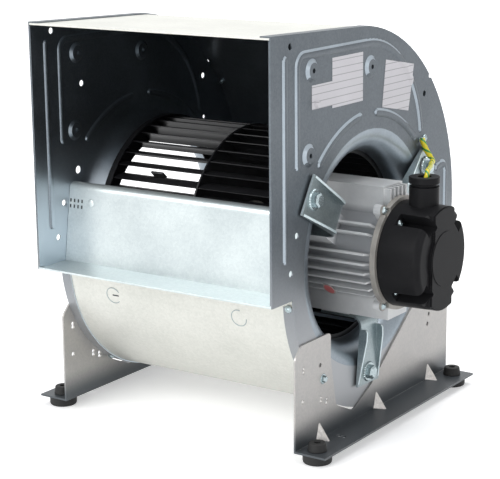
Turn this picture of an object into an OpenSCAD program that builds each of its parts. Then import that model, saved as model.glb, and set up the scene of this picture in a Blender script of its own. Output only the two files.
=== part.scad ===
// Double-inlet centrifugal blower with a direct-drive motor.
// X runs along the shaft, with the motor on +X. The outlet faces -Y and +Z is up.
// The origin is on the floor, at the centre of the four feet. All sizes are in millimetres.

/* [Casing] */
// Width across the outer faces of the side plates
casing_w = 298; // [284:1:330]
// Thickness of the side plates
plate_t = 1.2; // [0.8:0.1:1.8]
// Thickness of the wrap and of the cut-off panel
wrap_t = 1; // [0.7:0.1:1.5]
// Height of the outlet, outside
outlet_h = 262; // [252:1:276]
// Distance from the shaft axis forward to the outlet plane
outlet_reach = 183; // [176:1:195]
// Distance from the shaft axis down to the lower edge of the outlet
outlet_drop = 24; // [18:1:30]
// Height of the shaft axis above the floor
axis_h = 193; // [190:1:215]
// Distance from the middle of the feet forward to the shaft axis
axis_forward = 17; // [10:1:24]
// Width of the rim flange that is bent over the wrap
rim_w = 12; // [8:0.5:16]
// Width of the folded hem on the outlet edges
hem_w = 9; // [6:0.5:12]

/* [Scroll] */
// Scroll radius level with the axis at the front
scroll_front_r = 145; // [140:1:150]
// Scroll radius straight below the axis
scroll_bottom_r = 174; // [168:1:177]
// Scroll radius level with the axis at the back
scroll_back_r = 187; // [182:1:196]
// Scroll radius straight above the axis
scroll_top_r = 232; // [226:1:234]
// Angle over which the four radii are blended into each other
scroll_blend = 24; // [10:1:30]

/* [Inlets] */
// Radius of the inlet throat
throat_r = 101; // [96:0.5:106]
// Radius of the rounded inlet bell
bell_r = 25; // [18:0.5:28]
// Length of the straight lip behind the bell
bell_lip = 4; // [2:0.5:5]

/* [Pressed beads] */
// Width of a stiffening bead
bead_w = 9; // [6:0.5:12]
// Height of a stiffening bead
bead_h = 1.8; // [1:0.1:2.5]
// Radius of the bead that rings the inlet
bead_ring_r = 142; // [139:0.5:144]
// Radius of the domed bosses
boss_r = 12; // [9:0.5:14]
// Height of the domed bosses
boss_h = 2.5; // [1.5:0.1:3.5]
// Radius of the fixing holes in the side plates
hole_r = 3.3; // [2.5:0.1:4]
// Distance of the duct holes from the outlet plane
duct_hole_in = 33.5; // [31:0.5:36]
// Height of the lower duct hole above the outlet's lower edge
duct_hole_low = 28; // [24:0.5:32]
// Distance between the two duct holes of a side plate
duct_hole_pitch = 221.5; // [214:0.5:224]

/* [Cut-off panel] */
// Depth of the floor strip, from the outlet back to the panel
strip_l = 44; // [40:0.5:46]
// Height of the top of the rolled lip above the floor strip
lip_h = 84; // [78:0.5:88]
// Distance that the panel leans back up to its lip
lip_lean = 11; // [6:0.5:13]
// Radius of the rolled lip
lip_r = 6.5; // [5:0.5:8]
// Length of the wrap's flange under the floor strip
tuck_l = 22; // [14:1:30]

/* [Impeller] */
// Outer radius of the blades
impeller_r = 118; // [112:0.5:120]
// Width over the end rings
impeller_w = 236; // [220:1:237]
// Inner radius of the blades
blade_in_r = 98; // [92:0.5:102]
// Number of blades in each row
blade_n = 44; // [36:1:52]
// Thickness of a blade
blade_t = 1; // [0.6:0.1:1.4]
// Angle by which the blade tip leads its root
blade_sweep = 7.5; // [4:0.5:10]
// Thickness of the centre disc
disc_t = 2; // [1.2:0.1:3]
// Width of the end rings' turned rim
ring_w = 7; // [5:0.5:10]
// Radius of the hub barrel
hub_r = 19; // [15:0.5:24]
// Radius of the hub flange
hub_flange_r = 34; // [30:0.5:40]
// Length of the hub barrel on the motor side
hub_l = 26; // [18:1:34]
// Thickness of the hub flange
hub_flange_t = 4; // [3:0.5:6]

/* [Motor] */
// Radius of the shaft
shaft_r = 7; // [6:0.5:9]
// Radius of the motor housing at the root of its fins
housing_r = 47; // [46:0.5:48]
// Height of the cooling fins
fin_h = 8; // [5:0.5:9]
// Thickness of a cooling fin
fin_t = 2.4; // [1.8:0.1:3.4]
// Angle between two cooling fins
fin_pitch = 11.2; // [10:0.1:12]
// Length of the motor housing
housing_l = 99; // [92:1:104]
// Distance from the side plate out to the end shield ring
shield_out = 36; // [33:0.5:39]
// Thickness of the end shield ring
shield_t = 6; // [5:0.5:9]
// Radius of the end shield ring
shield_r = 59.5; // [58:0.5:62]
// Width of the flat pads on the top and bottom of the housing
pad_w = 40; // [34:1:44]
// Distance by which the top pad ends short of the end shield
pad_short = 7; // [5:0.5:10]
// Height of the top pad above the shaft axis
pad_top_h = 71; // [66:0.5:72]
// Depth of the bottom pad below the shaft axis
pad_bottom_h = 69; // [64:0.5:69.5]
// Outer radius of the stator core
stator_r = 42; // [40:0.5:43]
// Length of the stator core
stator_l = 50; // [40:1:56]
// Radius of the rotor core
rotor_r = 25; // [22:0.5:27]
// Air gap between rotor and stator
air_gap = 0.4; // [0.3:0.05:0.6]
// Outer radius of the bearings
bearing_r = 17.5; // [16:0.5:19]
// Width of the bearings
bearing_w = 11; // [9:0.5:12]

/* [Terminal cap] */
// Radius of the terminal cap
cap_r = 55.5; // [53:0.5:57]
// Length of the drum of the terminal cap
cap_l = 46; // [42:0.5:50]
// Height of the raised front of the terminal cap
cap_front_h = 3; // [2:0.5:5]
// Wall thickness of the terminal cap
cap_wall = 2.5; // [2:0.1:3.5]
// Radius of the gland boss on the terminal cap
gland_r = 15.5; // [13:0.5:17]
// Height of the gland boss above the shaft axis
gland_h = 73; // [70:0.5:78]

/* [Motor arms] */
// Radius from the shaft axis to the arm bolts
arm_bolt_r = 134; // [133:0.5:136]
// Radius from the shaft axis to the outer end of an arm
arm_end_r = 147; // [145:0.5:152]
// Radius from the shaft axis to the seat of an arm on the motor
arm_seat_r = 71; // [71:0.5:73]
// Width of an arm at its outer end
arm_w = 44; // [40:0.5:48]
// Width of an arm at the motor
arm_root_w = 34; // [30:0.5:38]
// Thickness of the arm sheet
arm_t = 2.5; // [2:0.1:3]
// Height of the flanges along an arm
arm_flange = 7; // [5:0.5:9]
// Length of the rubber bushes that hold the arms off the casing
bush_l = 2; // [1.5:0.5:5]
// Radius of the rubber bushes
bush_r = 11; // [9:0.5:12]

/* [Legs] */
// Length of a leg, front to back
leg_l = 325; // [318:1:340]
// Thickness of a leg
leg_t = 2; // [1.5:0.1:3]
// Width of a leg's base flange
leg_flange_w = 35; // [32:1:42]
// Height of a leg at the front
leg_front_h = 120; // [114:1:126]
// Height of a leg at the back
leg_back_h = 147; // [135:1:155]
// Height of the bottom of the notch between front and back
notch_h = 23; // [20:0.5:30]

/* [Feet] */
// Distance between front and rear feet
foot_pitch = 293; // [280:1:300]
// Distance from the casing out to the middle of a foot
foot_out = 18; // [16:0.5:20]
// Radius of the foot pad
foot_r = 15; // [12:0.5:16]
// Height of the foot pad under the leg
foot_h = 10; // [8:0.5:14]
// Radius of the fixing hole through a foot
foot_hole_r = 3.2; // [2.5:0.1:4]

/* [Fasteners] */
// Radius of the arm and leg bolts
bolt_r = 4; // [3:0.1:4.5]
// Width across the flats of the arm and leg bolts
bolt_flats = 13; // [11:0.5:14]
// Radius of the small screws
screw_r = 2.1; // [1.6:0.1:2.5]
// Play around a bolt or a screw in its hole
bolt_play = 0.2; // [0.1:0.05:0.4]
// Gap between parts that are pushed together
fit_gap = 0.05; // [0.02:0.01:0.1]
// Gap between sheet parts that are laid on each other
sheet_gap = 0.2; // [0.1:0.05:0.3]

/* [Hidden] */

$fn = 72;
fine_fn = 128;
cut = 1;

axis_y = -axis_forward;
plate_x = casing_w / 2;
inner_x = plate_x - plate_t;
outlet_y = axis_y - outlet_reach;
outlet_z = axis_h - outlet_drop;
top_z = outlet_z + outlet_h;

galvanised = [0.62, 0.65, 0.68];
bright_zinc = [0.80, 0.81, 0.80];
zinc_plate = [0.70, 0.73, 0.74];
black_paint = [0.06, 0.06, 0.065];
cast_alu = [0.66, 0.67, 0.67];
black_plastic = [0.05, 0.05, 0.055];
rubber_black = [0.04, 0.04, 0.04];
core_steel = [0.35, 0.36, 0.38];
copper = [0.72, 0.42, 0.22];

// ---- plane geometry ----

function unit(v) = v / norm(v);
function left_of(v) = [-v[1], v[0]];
function polar(r, a) = [r * cos(a), r * sin(a)];
function reversed(p) = [for (i = [len(p) - 1:-1:0]) p[i]];

// A path moved to its left by t, with mitred corners
function offset_path(p, t) = let (last = len(p) - 1)
    [for (i = [0:last])
        let (n1 = left_of(unit(p[max(i, 1)] - p[max(i, 1) - 1])),
            n2 = left_of(unit(p[min(i, last - 1) + 1] - p[min(i, last - 1)])))
        p[i] + t * (n1 + n2) / (1 + n1 * n2)];

// The section of a bent sheet: a path and its offset
function sheet(p, t) = concat(p, reversed(offset_path(p, t)));

// The arc that rounds corner b between a and c
function corner(a, b, c, r, n) = r == 0 ? [b] :
    let (u = unit(a - b), v = unit(c - b), half = acos(u * v) / 2,
        mid = b + unit(u + v) * r / sin(half),
        from = b + u * r / tan(half) - mid, to = b + v * r / tan(half) - mid,
        a1 = atan2(from[1], from[0]), a2 = atan2(to[1], to[0]),
        turn = (a2 - a1 + 540) % 360 - 180)
    [for (k = [0:n]) mid + polar(r, a1 + turn * k / n)];

// A path or outline of [x, y, corner radius] points, with its corners rounded
function rounded(p, closed = false, n = 6) = let (m = len(p))
    [for (i = [0:m - 1])
        let (q = p[i], before = p[(i + m - 1) % m], after = p[(i + 1) % m],
            r = !closed && (i == 0 || i == m - 1) ? 0 : q[2])
        each corner([before[0], before[1]], [q[0], q[1]], [after[0], after[1]], r, n)];

// ---- frames of reference ----

// Draws in the side view: local x is back, local y is up, local z is to the motor side
module side_on() rotate([90, 0, 90]) children();

// The same, from the shaft axis
module on_axis() translate([0, axis_y, axis_h]) side_on() children();

// On the shaft axis, turned so that local x points out at angle a from the back
module at_angle(a) on_axis() rotate([0, 0, a]) children();

module both_sides() {
    children();
    mirror([1, 0, 0]) children();
}

// A tube along local z
module tube(r, hole, l) difference() {
    cylinder(r = r, h = l);
    translate([0, 0, -cut]) cylinder(r = hole, h = l + 2 * cut);
}

// Turns a profile of [radius, place along the shaft] about the shaft
module turned(p) on_axis() rotate_extrude($fn = fine_fn) polygon(p);

// ---- the scroll ----

scroll_rise = scroll_top_r - scroll_back_r;
scroll_table = [[-90, 2 * scroll_front_r - scroll_bottom_r], [0, scroll_front_r],
    [90, scroll_bottom_r], [180, scroll_back_r], [270, scroll_top_r], [360, scroll_top_r + scroll_rise]];
blend_steps = [-1, -0.5, 0, 0.5, 1];
function scroll_r(a) = let (r = [for (k = blend_steps) lookup(a + k * scroll_blend, scroll_table)])
    r * [for (k = blend_steps) 1] / len(blend_steps);
// Point of the scroll at angle a, which runs from the front down, back and up to the top
function scroll_point(a, inset) = [axis_y, axis_h] - polar(scroll_r(a) - inset, a);
scroll_start = asin(outlet_drop / scroll_r(9));
scroll_end = 270;
scroll_steps = 66;
function scroll_path(start, inset) = [for (i = [0:scroll_steps])
    scroll_point(start + (scroll_end - start) * i / scroll_steps, inset)];

rim_seat = plate_t + sheet_gap;
wrap_start = scroll_start + 1;
wrap_first = scroll_point(wrap_start, rim_seat);
tuck_z = outlet_z - sheet_gap - wrap_t;
wrap_path = concat([[wrap_first[0] - tuck_l, tuck_z], [wrap_first[0] - 1, tuck_z]],
    scroll_path(wrap_start + 1, rim_seat), [[outlet_y, top_z - rim_seat]]);
rim_path = concat(scroll_path(scroll_start + 3, 0), [[outlet_y, top_z]]);
plate_outline = concat([[outlet_y, outlet_z]], scroll_path(scroll_start, 0), [[outlet_y, top_z]]);

// ---- places that more than one part uses ----

arm_angles = [147.5, 30.5, 268];
arm_x = plate_x + bush_l;
bend_r = 12;
foot_x = plate_x + foot_out;
sole_z = foot_h + leg_t;

wrap_screw_angles = [13, 64, 118, 172, 222];
wrap_screw_x = plate_x - rim_w / 2;

leg_bolt_places = [scroll_point(52, 11.4), scroll_point(154, 16.4)];
duct_holes = [[duct_hole_in, duct_hole_low], [duct_hole_in, duct_hole_low + duct_hole_pitch]];
plate_holes = [[44.5, 64], [80, 189], [72, 40.5], [316, 190], [303, 172]];
boss_places = [[72.5, 222.5], [185.5, 214], [66.5, 140]];

shield_x = plate_x + shield_out;
cap_x = shield_x + shield_t;
cap_face = cap_x + cap_l;
housing_x = shield_x - housing_l;
drive_shield_t = 12;
drive_x = housing_x - drive_shield_t;
stator_x = housing_x + 22;
bearing_in_x = drive_x + 2;
bearing_out_x = shield_x - bearing_w + 2;
lug_angle = 56.5;
lug_r = 60;
lug_t = 2;
screw_ring_r = 47.5;
gland_x = cap_x + 23.5;
earth_place = [axis_y + 120.5, axis_h + 98.5];

// ---- casing ----

bead_section_r = (bead_w * bead_w / 4 + bead_h * bead_h) / (2 * bead_h);

// The section of a bead, from inside the sheet up to its crown
module bead_section() intersection() {
    translate([0, bead_h - bead_section_r]) circle(r = bead_section_r);
    translate([-bead_w, -plate_t / 2]) square([2 * bead_w, plate_t / 2 + 2 * bead_h]);
}

module bead_end(p) translate([p[0], p[1], plate_x - plate_t / 2])
    cylinder(r1 = bead_w / 2, r2 = bead_w / 5, h = bead_h + plate_t / 2 - 0.1);

// A straight bead on the side plate, from p to q in the side view
module bead(p, q) {
    run = q - p;
    translate([p[0], p[1], plate_x]) rotate([90, 0, atan2(run[1], run[0]) + 90])
        linear_extrude(norm(run)) bead_section();
}

// A bead along an arc of radius r about c, from angle a over angle turn
module bead_arc(c, r, a, turn) translate([c[0], c[1], plate_x]) rotate([0, 0, a])
    rotate_extrude(angle = turn, $fn = fine_fn) translate([r, 0]) bead_section();

module side_plate() color(galvanised) {
    c = [axis_y, axis_h];
    loop_front = outlet_y + 46;
    loop_r = 118;
    loop_c = [axis_y - 5, axis_h + 97];
    loop_top = loop_c[1] + loop_r;
    loop_corner = 12;
    front_bead = outlet_y + 24;
    back_bead = [axis_y + 172.5, axis_h + 54];
    back_turn = 10;
    back_end = back_bead - [back_turn, 0] + polar(back_turn, 105);
    difference() {
        union() {
            side_on() {
                translate([0, 0, inner_x]) linear_extrude(plate_t) difference() {
                    polygon(plate_outline);
                    translate(c) circle(r = throat_r + bell_r - 0.4, $fn = fine_fn);
                }
                translate([0, 0, plate_x - rim_w]) linear_extrude(rim_w)
                    polygon(sheet(rim_path, plate_t));
                translate([outlet_y, outlet_z + 2 * wrap_t + 1, inner_x - plate_t])
                    cube([hem_w, outlet_h - 4 * wrap_t - rim_seat - 2, plate_t + 0.3]);
                bead([front_bead, outlet_z + 42], [front_bead, top_z - 24]);
                bead_end([front_bead, outlet_z + 42]);
                bead_end([front_bead, top_z - 24]);
                bead_end([back_bead[0], axis_h - 30]);
                bead([back_bead[0], axis_h - 30], back_bead);
                bead_arc(back_bead - [back_turn, 0], back_turn, 0, 105);
                bead(back_end, back_end + 10 * left_of(polar(1, 105)));
                bead_end(back_end + 10 * left_of(polar(1, 105)));
                bead_end([loop_front, loop_top - 108]);
                bead([loop_front, loop_top - 108], [loop_front, loop_top - loop_corner]);
                bead_arc([loop_front + loop_corner, loop_top - loop_corner], loop_corner, 90, 90);
                bead([loop_front + loop_corner, loop_top], [loop_c[0], loop_top]);
                bead_arc(loop_c, loop_r, 6, 84);
                bead_end(loop_c + polar(loop_r, 6));
                for (arc = [[97, 36], [46, 38]]) {
                    bead_arc(c, bead_ring_r, arc[0], arc[1]);
                    bead_end(c + polar(bead_ring_r, arc[0]));
                    bead_end(c + polar(bead_ring_r, arc[0] + arc[1]));
                }
                for (p = boss_places) translate([outlet_y + p[0], outlet_z + p[1], plate_x - 0.2])
                    cylinder(r1 = boss_r, r2 = boss_r - 1.6 * boss_h, h = boss_h + 0.2);
            }
            on_axis() rotate_extrude($fn = fine_fn) translate([throat_r + bell_r, plate_x - bell_r]) {
                intersection() {
                    difference() {
                        circle(r = bell_r, $fn = fine_fn);
                        circle(r = bell_r - plate_t, $fn = fine_fn);
                    }
                    translate([-bell_r - cut, 0]) square(bell_r + cut);
                }
                translate([-bell_r, -bell_lip]) square([plate_t, bell_lip + 0.2]);
            }
        }
        side_on() {
            for (p = concat(duct_holes, plate_holes)) translate([outlet_y + p[0], outlet_z + p[1], inner_x - 4])
                cylinder(r = hole_r, h = 10);
            for (p = boss_places) translate([outlet_y + p[0], outlet_z + p[1], inner_x - 4])
                cylinder(r = hole_r - 0.8, h = 12);
            for (p = leg_bolt_places) translate([p[0], p[1], inner_x - 4])
                cylinder(r = bolt_r + bolt_play, h = 10);
            translate([earth_place[0], earth_place[1], inner_x - 4])
                cylinder(r = screw_r + bolt_play, h = 12);
        }
        for (a = arm_angles) at_angle(a) translate([arm_bolt_r, 0, inner_x - 4])
            cylinder(r = bolt_r + bolt_play, h = 10);
        wrap_screw_holes();
    }
}
module side_plate_right() side_plate();
module side_plate_left() mirror([1, 0, 0]) side_plate();

// Places children on the rim flange at scroll angle a, with local z pointing outwards
module on_rim(a) {
    out = -left_of(unit(scroll_point(a + 2, 0) - scroll_point(a - 2, 0)));
    translate([wrap_screw_x, scroll_point(a, 0)[0], scroll_point(a, 0)[1]])
        rotate([atan2(-out[0], out[1]), 0, 0]) children();
}

module wrap_screw_holes() for (a = wrap_screw_angles)
    on_rim(a) translate([0, 0, -8]) cylinder(r = screw_r + bolt_play, h = 12, $fn = 24);

module scroll_wrap() color(bright_zinc) {
    w = 2 * (inner_x - sheet_gap);
    lip_top = top_z - rim_seat - wrap_t;
    difference() {
        translate([-w / 2, 0, 0]) side_on() linear_extrude(w) {
            polygon(sheet(wrap_path, wrap_t));
            translate([outlet_y, lip_top - wrap_t]) square([hem_w, wrap_t + 0.1]);
        }
        both_sides() wrap_screw_holes();
    }
}

module cutoff_panel() color(bright_zinc) {
    w = 2 * (inner_x - sheet_gap);
    back_y = outlet_y + strip_l;
    lip_y = back_y + lip_lean;
    path = concat([[outlet_y, outlet_z], [back_y, outlet_z]],
        [for (a = [180:-15:-20]) [lip_y + lip_r, outlet_z + lip_h - lip_r] + polar(lip_r, a)]);
    translate([-w / 2, 0, 0]) side_on() linear_extrude(w) {
        polygon(sheet(path, wrap_t));
        translate([outlet_y, outlet_z + wrap_t - 0.1]) square([hem_w, wrap_t + 0.1]);
    }
}

// A pan-head screw along local z, with its head above zero
module pan_screw(r, l, head_r) {
    translate([0, 0, -l]) cylinder(r = r, h = l, $fn = 24);
    difference() {
        intersection() {
            cylinder(r = head_r, h = head_r);
            translate([0, 0, -head_r * 0.55]) sphere(r = head_r * 1.15);
        }
        translate([0, 0, head_r * 0.6]) for (a = [0, 90]) rotate([0, 0, a])
            translate([-head_r * 0.6, -head_r * 0.12, -0.5]) cube([head_r * 1.2, head_r * 0.24, head_r]);
    }
}

module wrap_screws() color(zinc_plate) both_sides()
    for (a = wrap_screw_angles) on_rim(a) translate([0, 0, 0.2]) pan_screw(screw_r, 6, 2 * screw_r);

// A hex bolt along local z, with its washer flange on zero and its shank below
module hex_bolt(l) {
    translate([0, 0, -l]) cylinder(r = bolt_r, h = l);
    cylinder(r1 = bolt_flats * 0.8, r2 = bolt_flats * 0.76, h = 1.4);
    translate([0, 0, 1.2]) cylinder(d = bolt_flats / cos(30), h = 5, $fn = 6);
}

// A hex nut below zero on local z
module hex_nut() difference() {
    translate([0, 0, -6]) cylinder(d = bolt_flats / cos(30), h = 6, $fn = 6);
    translate([0, 0, -6 - cut]) cylinder(r = bolt_r + fit_gap, h = 6 + 2 * cut);
}

// ---- legs and feet ----

module leg() color(galvanised) {
    half = leg_l / 2;
    notch_y = -49;
    outline = [[-half, foot_h, 0], [half, foot_h, 0], [half, leg_back_h, 14],
        [half - 26, leg_back_h, 8], [-12, notch_h + 17.5, 20], [notch_y, notch_h, 12],
        [-84, notch_h + 16, 8], [-half + 68, 92, 6], [-half + 68, leg_front_h, 5],
        [-half + 12, leg_front_h, 8], [-half, leg_front_h - 12, 8]];
    difference() {
        union() {
            translate([plate_x, 0, 0]) side_on() linear_extrude(leg_t)
                polygon(rounded(outline, true));
            translate([plate_x, -half, foot_h]) cube([leg_flange_w + leg_t, leg_l, leg_t]);
            for (y = [-117, 0, 117]) translate([plate_x + leg_t, y, sole_z]) gusset();
        }
        leg_holes();
    }
}

// A pressed gusset in the bend between the upright and the base flange
module gusset() hull() {
    translate([-0.5, -1, 0]) cube([0.5, 2, 17]);
    translate([0, -1, -0.5]) cube([12, 2, 0.5]);
    translate([-0.5, -7, -0.5]) cube([1.5, 14, 1.5]);
}

module leg_holes() {
    for (y = [-1, 1]) translate([foot_x, y * foot_pitch / 2, 0]) cylinder(r = foot_neck_r + sheet_gap, h = 40);
    side_on() for (p = leg_bolt_places) translate([p[0], p[1], plate_x - cut])
        cylinder(r = bolt_r + bolt_play, h = leg_t + 2 * cut);
    side_on() for (p = [[-148, 60.7], [-115, 90.5], [118, 88.5], [115, 77.5]])
        translate([p[0], p[1], plate_x - cut]) cylinder(r = 2.4, h = leg_t + 2 * cut);
    side_on() for (p = [[-147, 93.5], [-113.5, 53.5], [-103, 49]])
        for (k = [-2, 2]) translate([p[0], p[1] + k, plate_x - cut]) cylinder(r = 2.2, h = leg_t + 2 * cut);
    translate([foot_x - 1, -97.5, 0]) for (k = [-3, 3]) translate([k, 0, 0]) cylinder(r = 2.8, h = 40);
}
module leg_right() leg();
module leg_left() mirror([1, 0, 0]) leg();

module leg_bolts() color(zinc_plate) both_sides() side_on()
    for (p = leg_bolt_places) translate([p[0], p[1], plate_x + leg_t]) hex_bolt(leg_t + plate_t + 9);

module leg_nuts() color(zinc_plate) both_sides() side_on()
    for (p = leg_bolt_places) translate([p[0], p[1], inner_x]) hex_nut();

foot_neck_r = 7;
module rubber_feet() color(rubber_black) for (x = [-foot_x, foot_x], y = [-1, 1])
    translate([x, y * foot_pitch / 2, 0]) difference() {
        union() {
            cylinder(r1 = foot_r - 1, r2 = foot_r, h = 1.5);
            translate([0, 0, 1.5]) cylinder(r = foot_r, h = foot_h - 1.5);
            cylinder(r = foot_neck_r, h = sole_z + 5);
            translate([0, 0, sole_z]) cylinder(r1 = foot_neck_r + 3, r2 = foot_neck_r + 1.5, h = 9);
        }
        translate([0, 0, -cut]) cylinder(r = foot_hole_r, h = sole_z + 9 + 2 * cut);
    }

// ---- impeller ----

half_w = impeller_w / 2;
ring_t = 1.5;
blade_l = half_w - ring_t - disc_t / 2;

module impeller_disc() color(black_paint) on_axis() difference() {
    translate([0, 0, -disc_t / 2]) cylinder(r = impeller_r, h = disc_t, $fn = fine_fn);
    translate([0, 0, -disc_t]) cylinder(r = hub_r + fit_gap, h = 2 * disc_t);
    for (a = [0:60:300]) rotate([0, 0, a]) translate([hub_rivet_r, 0, -disc_t])
        cylinder(r = screw_r + fit_gap, h = 2 * disc_t, $fn = 24);
}

module blade_row(from) {
    path = [for (s = [0:0.2:1]) polar(blade_in_r + (impeller_r - 0.5 - blade_in_r) * s, blade_sweep * s * s)];
    on_axis() for (i = [0:blade_n - 1]) rotate([0, 0, i * 360 / blade_n])
        translate([0, 0, from]) linear_extrude(blade_l) polygon(sheet(path, blade_t));
}
module blades_right() color(black_paint) blade_row(disc_t / 2);
module blades_left() color(black_paint) blade_row(-disc_t / 2 - blade_l);

module end_ring() on_axis() rotate_extrude($fn = fine_fn) {
    translate([blade_in_r - 1, half_w - ring_t]) square([impeller_r + 0.3 - blade_in_r + 1, ring_t]);
    translate([impeller_r + 0.3, half_w - ring_w]) square([ring_t, ring_w]);
}
module end_ring_right() color(black_paint) end_ring();
module end_ring_left() color(black_paint) mirror([1, 0, 0]) end_ring();

hub_rivet_r = (hub_r + hub_flange_r) / 2;
module hub() color(cast_alu) on_axis() difference() {
    union() {
        translate([0, 0, -disc_t / 2 - 6]) cylinder(r = hub_r, h = hub_l + disc_t / 2 + 6);
        translate([0, 0, disc_t / 2]) cylinder(r = hub_flange_r, h = hub_flange_t);
    }
    translate([0, 0, -20]) cylinder(r = shaft_r + fit_gap, h = hub_l + 40);
    for (a = [0:60:300]) rotate([0, 0, a]) translate([hub_rivet_r, 0, 0])
        cylinder(r = screw_r + fit_gap, h = 20, $fn = 24);
    translate([0, 0, hub_l - 8]) rotate([0, 90, 0]) cylinder(r = 3 + fit_gap, h = hub_r + 10, $fn = 24);
}

module hub_rivets() color(zinc_plate) on_axis() for (a = [0:60:300]) rotate([0, 0, a])
    translate([hub_rivet_r, 0, 0]) {
        translate([0, 0, -disc_t / 2 - 0.1]) cylinder(r = screw_r, h = disc_t + hub_flange_t + 0.2, $fn = 24);
        translate([0, 0, -disc_t / 2 - 2]) cylinder(r1 = screw_r, r2 = 2 * screw_r, h = 2, $fn = 32);
        translate([0, 0, disc_t / 2 + hub_flange_t]) cylinder(r1 = 2 * screw_r, r2 = screw_r, h = 2, $fn = 32);
    }

module set_screw() color(core_steel) on_axis() translate([0, 0, hub_l - 8]) rotate([0, 90, 0])
    translate([0, 0, shaft_r + fit_gap]) difference() {
        cylinder(r = 3, h = hub_r - shaft_r, $fn = 24);
        translate([0, 0, hub_r - shaft_r - 3]) cylinder(r = 1.7, h = 5, $fn = 6);
    }

module balance_clip() color(core_steel) {
    spot = round(blade_n * 0.39) * 360 / blade_n;
    at_angle(spot) translate([blade_in_r + 1.5, -2.4, -half_w * 0.62]) difference() {
        cube([9, 2.3, 16]);
        translate([1.2, -cut, 3]) cube([5, 1.2 + cut, 10]);
    }
}

module motor_shaft() color(core_steel) on_axis() {
    translate([0, 0, -disc_t / 2 - 10]) cylinder(r = shaft_r, h = shield_x + disc_t / 2 + 10 + 1);
}

// ---- motor ----

module rotor_core() color(core_steel) on_axis() translate([0, 0, stator_x])
    tube(rotor_r, shaft_r + fit_gap, stator_l);

module stator_core() color(core_steel) on_axis() translate([0, 0, stator_x])
    tube(stator_r, rotor_r + air_gap, stator_l);

module stator_windings() color(copper) on_axis() for (x = [stator_x - 14, stator_x + stator_l])
    translate([0, 0, x]) tube(stator_r - 4, rotor_r + 3, 14);

fin_first = -4;
fin_last = 4;
fin_wide = 2;
fin_tilt = -4.2;

module motor_housing() color(cast_alu) on_axis() difference() {
    union() {
        translate([0, 0, housing_x]) linear_extrude(housing_l) {
            circle(r = housing_r, $fn = fine_fn);
            translate([-pad_w / 2, -pad_bottom_h]) square([pad_w, pad_bottom_h]);
        }
        intersection() {
            translate([0, 0, housing_x]) linear_extrude(housing_l) fins();
            translate([0, 0, housing_x]) fin_reach();
        }
        translate([-pad_w / 2, 0, housing_x]) cube([pad_w, pad_top_h, housing_l - pad_short]);
        for (k = [-2:2]) translate([k * pad_rib_pitch - pad_rib_t / 2, housing_r - 5, shield_x - pad_short - 1])
            cube([pad_rib_t, pad_top_h - housing_r + 3, pad_short + 1]);
        for (a = lug_angles) rotate([0, 0, a]) {
            translate([lug_r, 0, shield_x - lug_seat_l]) cylinder(r = lug_seat_r, h = lug_seat_l - lug_drop);
            translate([housing_r - 5, -lug_seat_r + 1, shield_x - lug_seat_l])
                cube([lug_r - housing_r + 5, 2 * lug_seat_r - 2, lug_seat_l - lug_drop]);
        }
        for (a = arm_angles) rotate([0, 0, a]) translate([housing_r - 6, -arm_root_w / 2 + 1, arm_foot_x])
            cube([arm_seat_r - housing_r + 6, arm_root_w - 2, arm_foot_l]);
    }
    translate([0, 0, housing_x - cut]) cylinder(r = stator_r + fit_gap, h = housing_l + 2 * cut);
    for (a = lug_angles) rotate([0, 0, a]) translate([lug_r, 0, shield_x - lug_seat_l - cut])
        cylinder(r = screw_r + bolt_play, h = lug_seat_l + 2 * cut);
    for (a = arm_angles) rotate([0, 0, a]) translate([arm_seat_r + cut, 0, arm_foot_x + arm_foot_l / 2])
        rotate([0, -90, 0]) cylinder(r = screw_r + bolt_play, h = 18);
}
arm_foot_x = arm_x - bend_r - 36;
arm_foot_l = 34;
pad_rib_pitch = 8;
pad_rib_t = 3.2;
lug_seat_l = 8;
lug_seat_r = 5.5;
lug_drop = 0.1;

module fins() for (side = [0, 180], k = [fin_first:fin_last]) if (k != fin_wide)
    rotate(side + (side > 0 ? -1 : 1) * (k * fin_pitch + fin_tilt))
        translate([housing_r - 3, -fin_t / 2]) square([fin_h + 3, fin_t]);

// The space that the fins fill: their tips slope down to the housing at the end shield
module fin_reach() rotate_extrude($fn = fine_fn) polygon([[0, 0], [housing_r + fin_h, 0],
    [housing_r + fin_h, housing_l - fin_h - 2], [housing_r - 1, housing_l - 1], [0, housing_l - 1]]);

module drive_end_shield() color(cast_alu) turned([[bearing_r + fit_gap, drive_x],
    [bearing_r + fit_gap, housing_x], [bearing_r + 5, housing_x],
    [bearing_r + 6, drive_x + 5], [stator_r - 6, drive_x + 6], [stator_r - 4, housing_x],
    [housing_r + 4, housing_x], [housing_r + 4, housing_x - 4], [housing_r - 6, drive_x + 1],
    [bearing_r + 4, drive_x]]);

module outer_end_shield() color(cast_alu) on_axis() difference() {
    union() {
        translate([0, 0, shield_x]) cylinder(r = shield_r, h = shield_t, $fn = fine_fn);
        translate([0, 0, bearing_out_x])
            tube(bearing_r + 5, bearing_r + fit_gap, shield_x - bearing_out_x + cut);
        for (a = lug_angles) rotate([0, 0, a]) translate([lug_r, 0, shield_x - lug_drop])
            cylinder(r = lug_seat_r, h = lug_t + lug_drop);
    }
    translate([0, 0, bearing_out_x + bearing_w]) cylinder(r = shaft_r + 2, h = 20);
    translate([0, 0, bearing_out_x - cut]) cylinder(r = bearing_r + fit_gap, h = bearing_w + cut);
    for (a = lug_angles) rotate([0, 0, a]) translate([lug_r, 0, shield_x]) {
        translate([0, 0, -cut]) cylinder(r = screw_r + bolt_play, h = shield_t + 2 * cut);
        translate([0, 0, lug_t]) cylinder(r = lug_seat_r, h = shield_t);
    }
    for (a = cap_screw_angles) rotate([0, 0, a]) translate([screw_ring_r, 0, shield_x - cut])
        cylinder(r = screw_r + bolt_play, h = shield_t + 2 * cut);
}
lug_angles = [lug_angle, 180 - lug_angle, 180 + lug_angle, -lug_angle];
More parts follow.
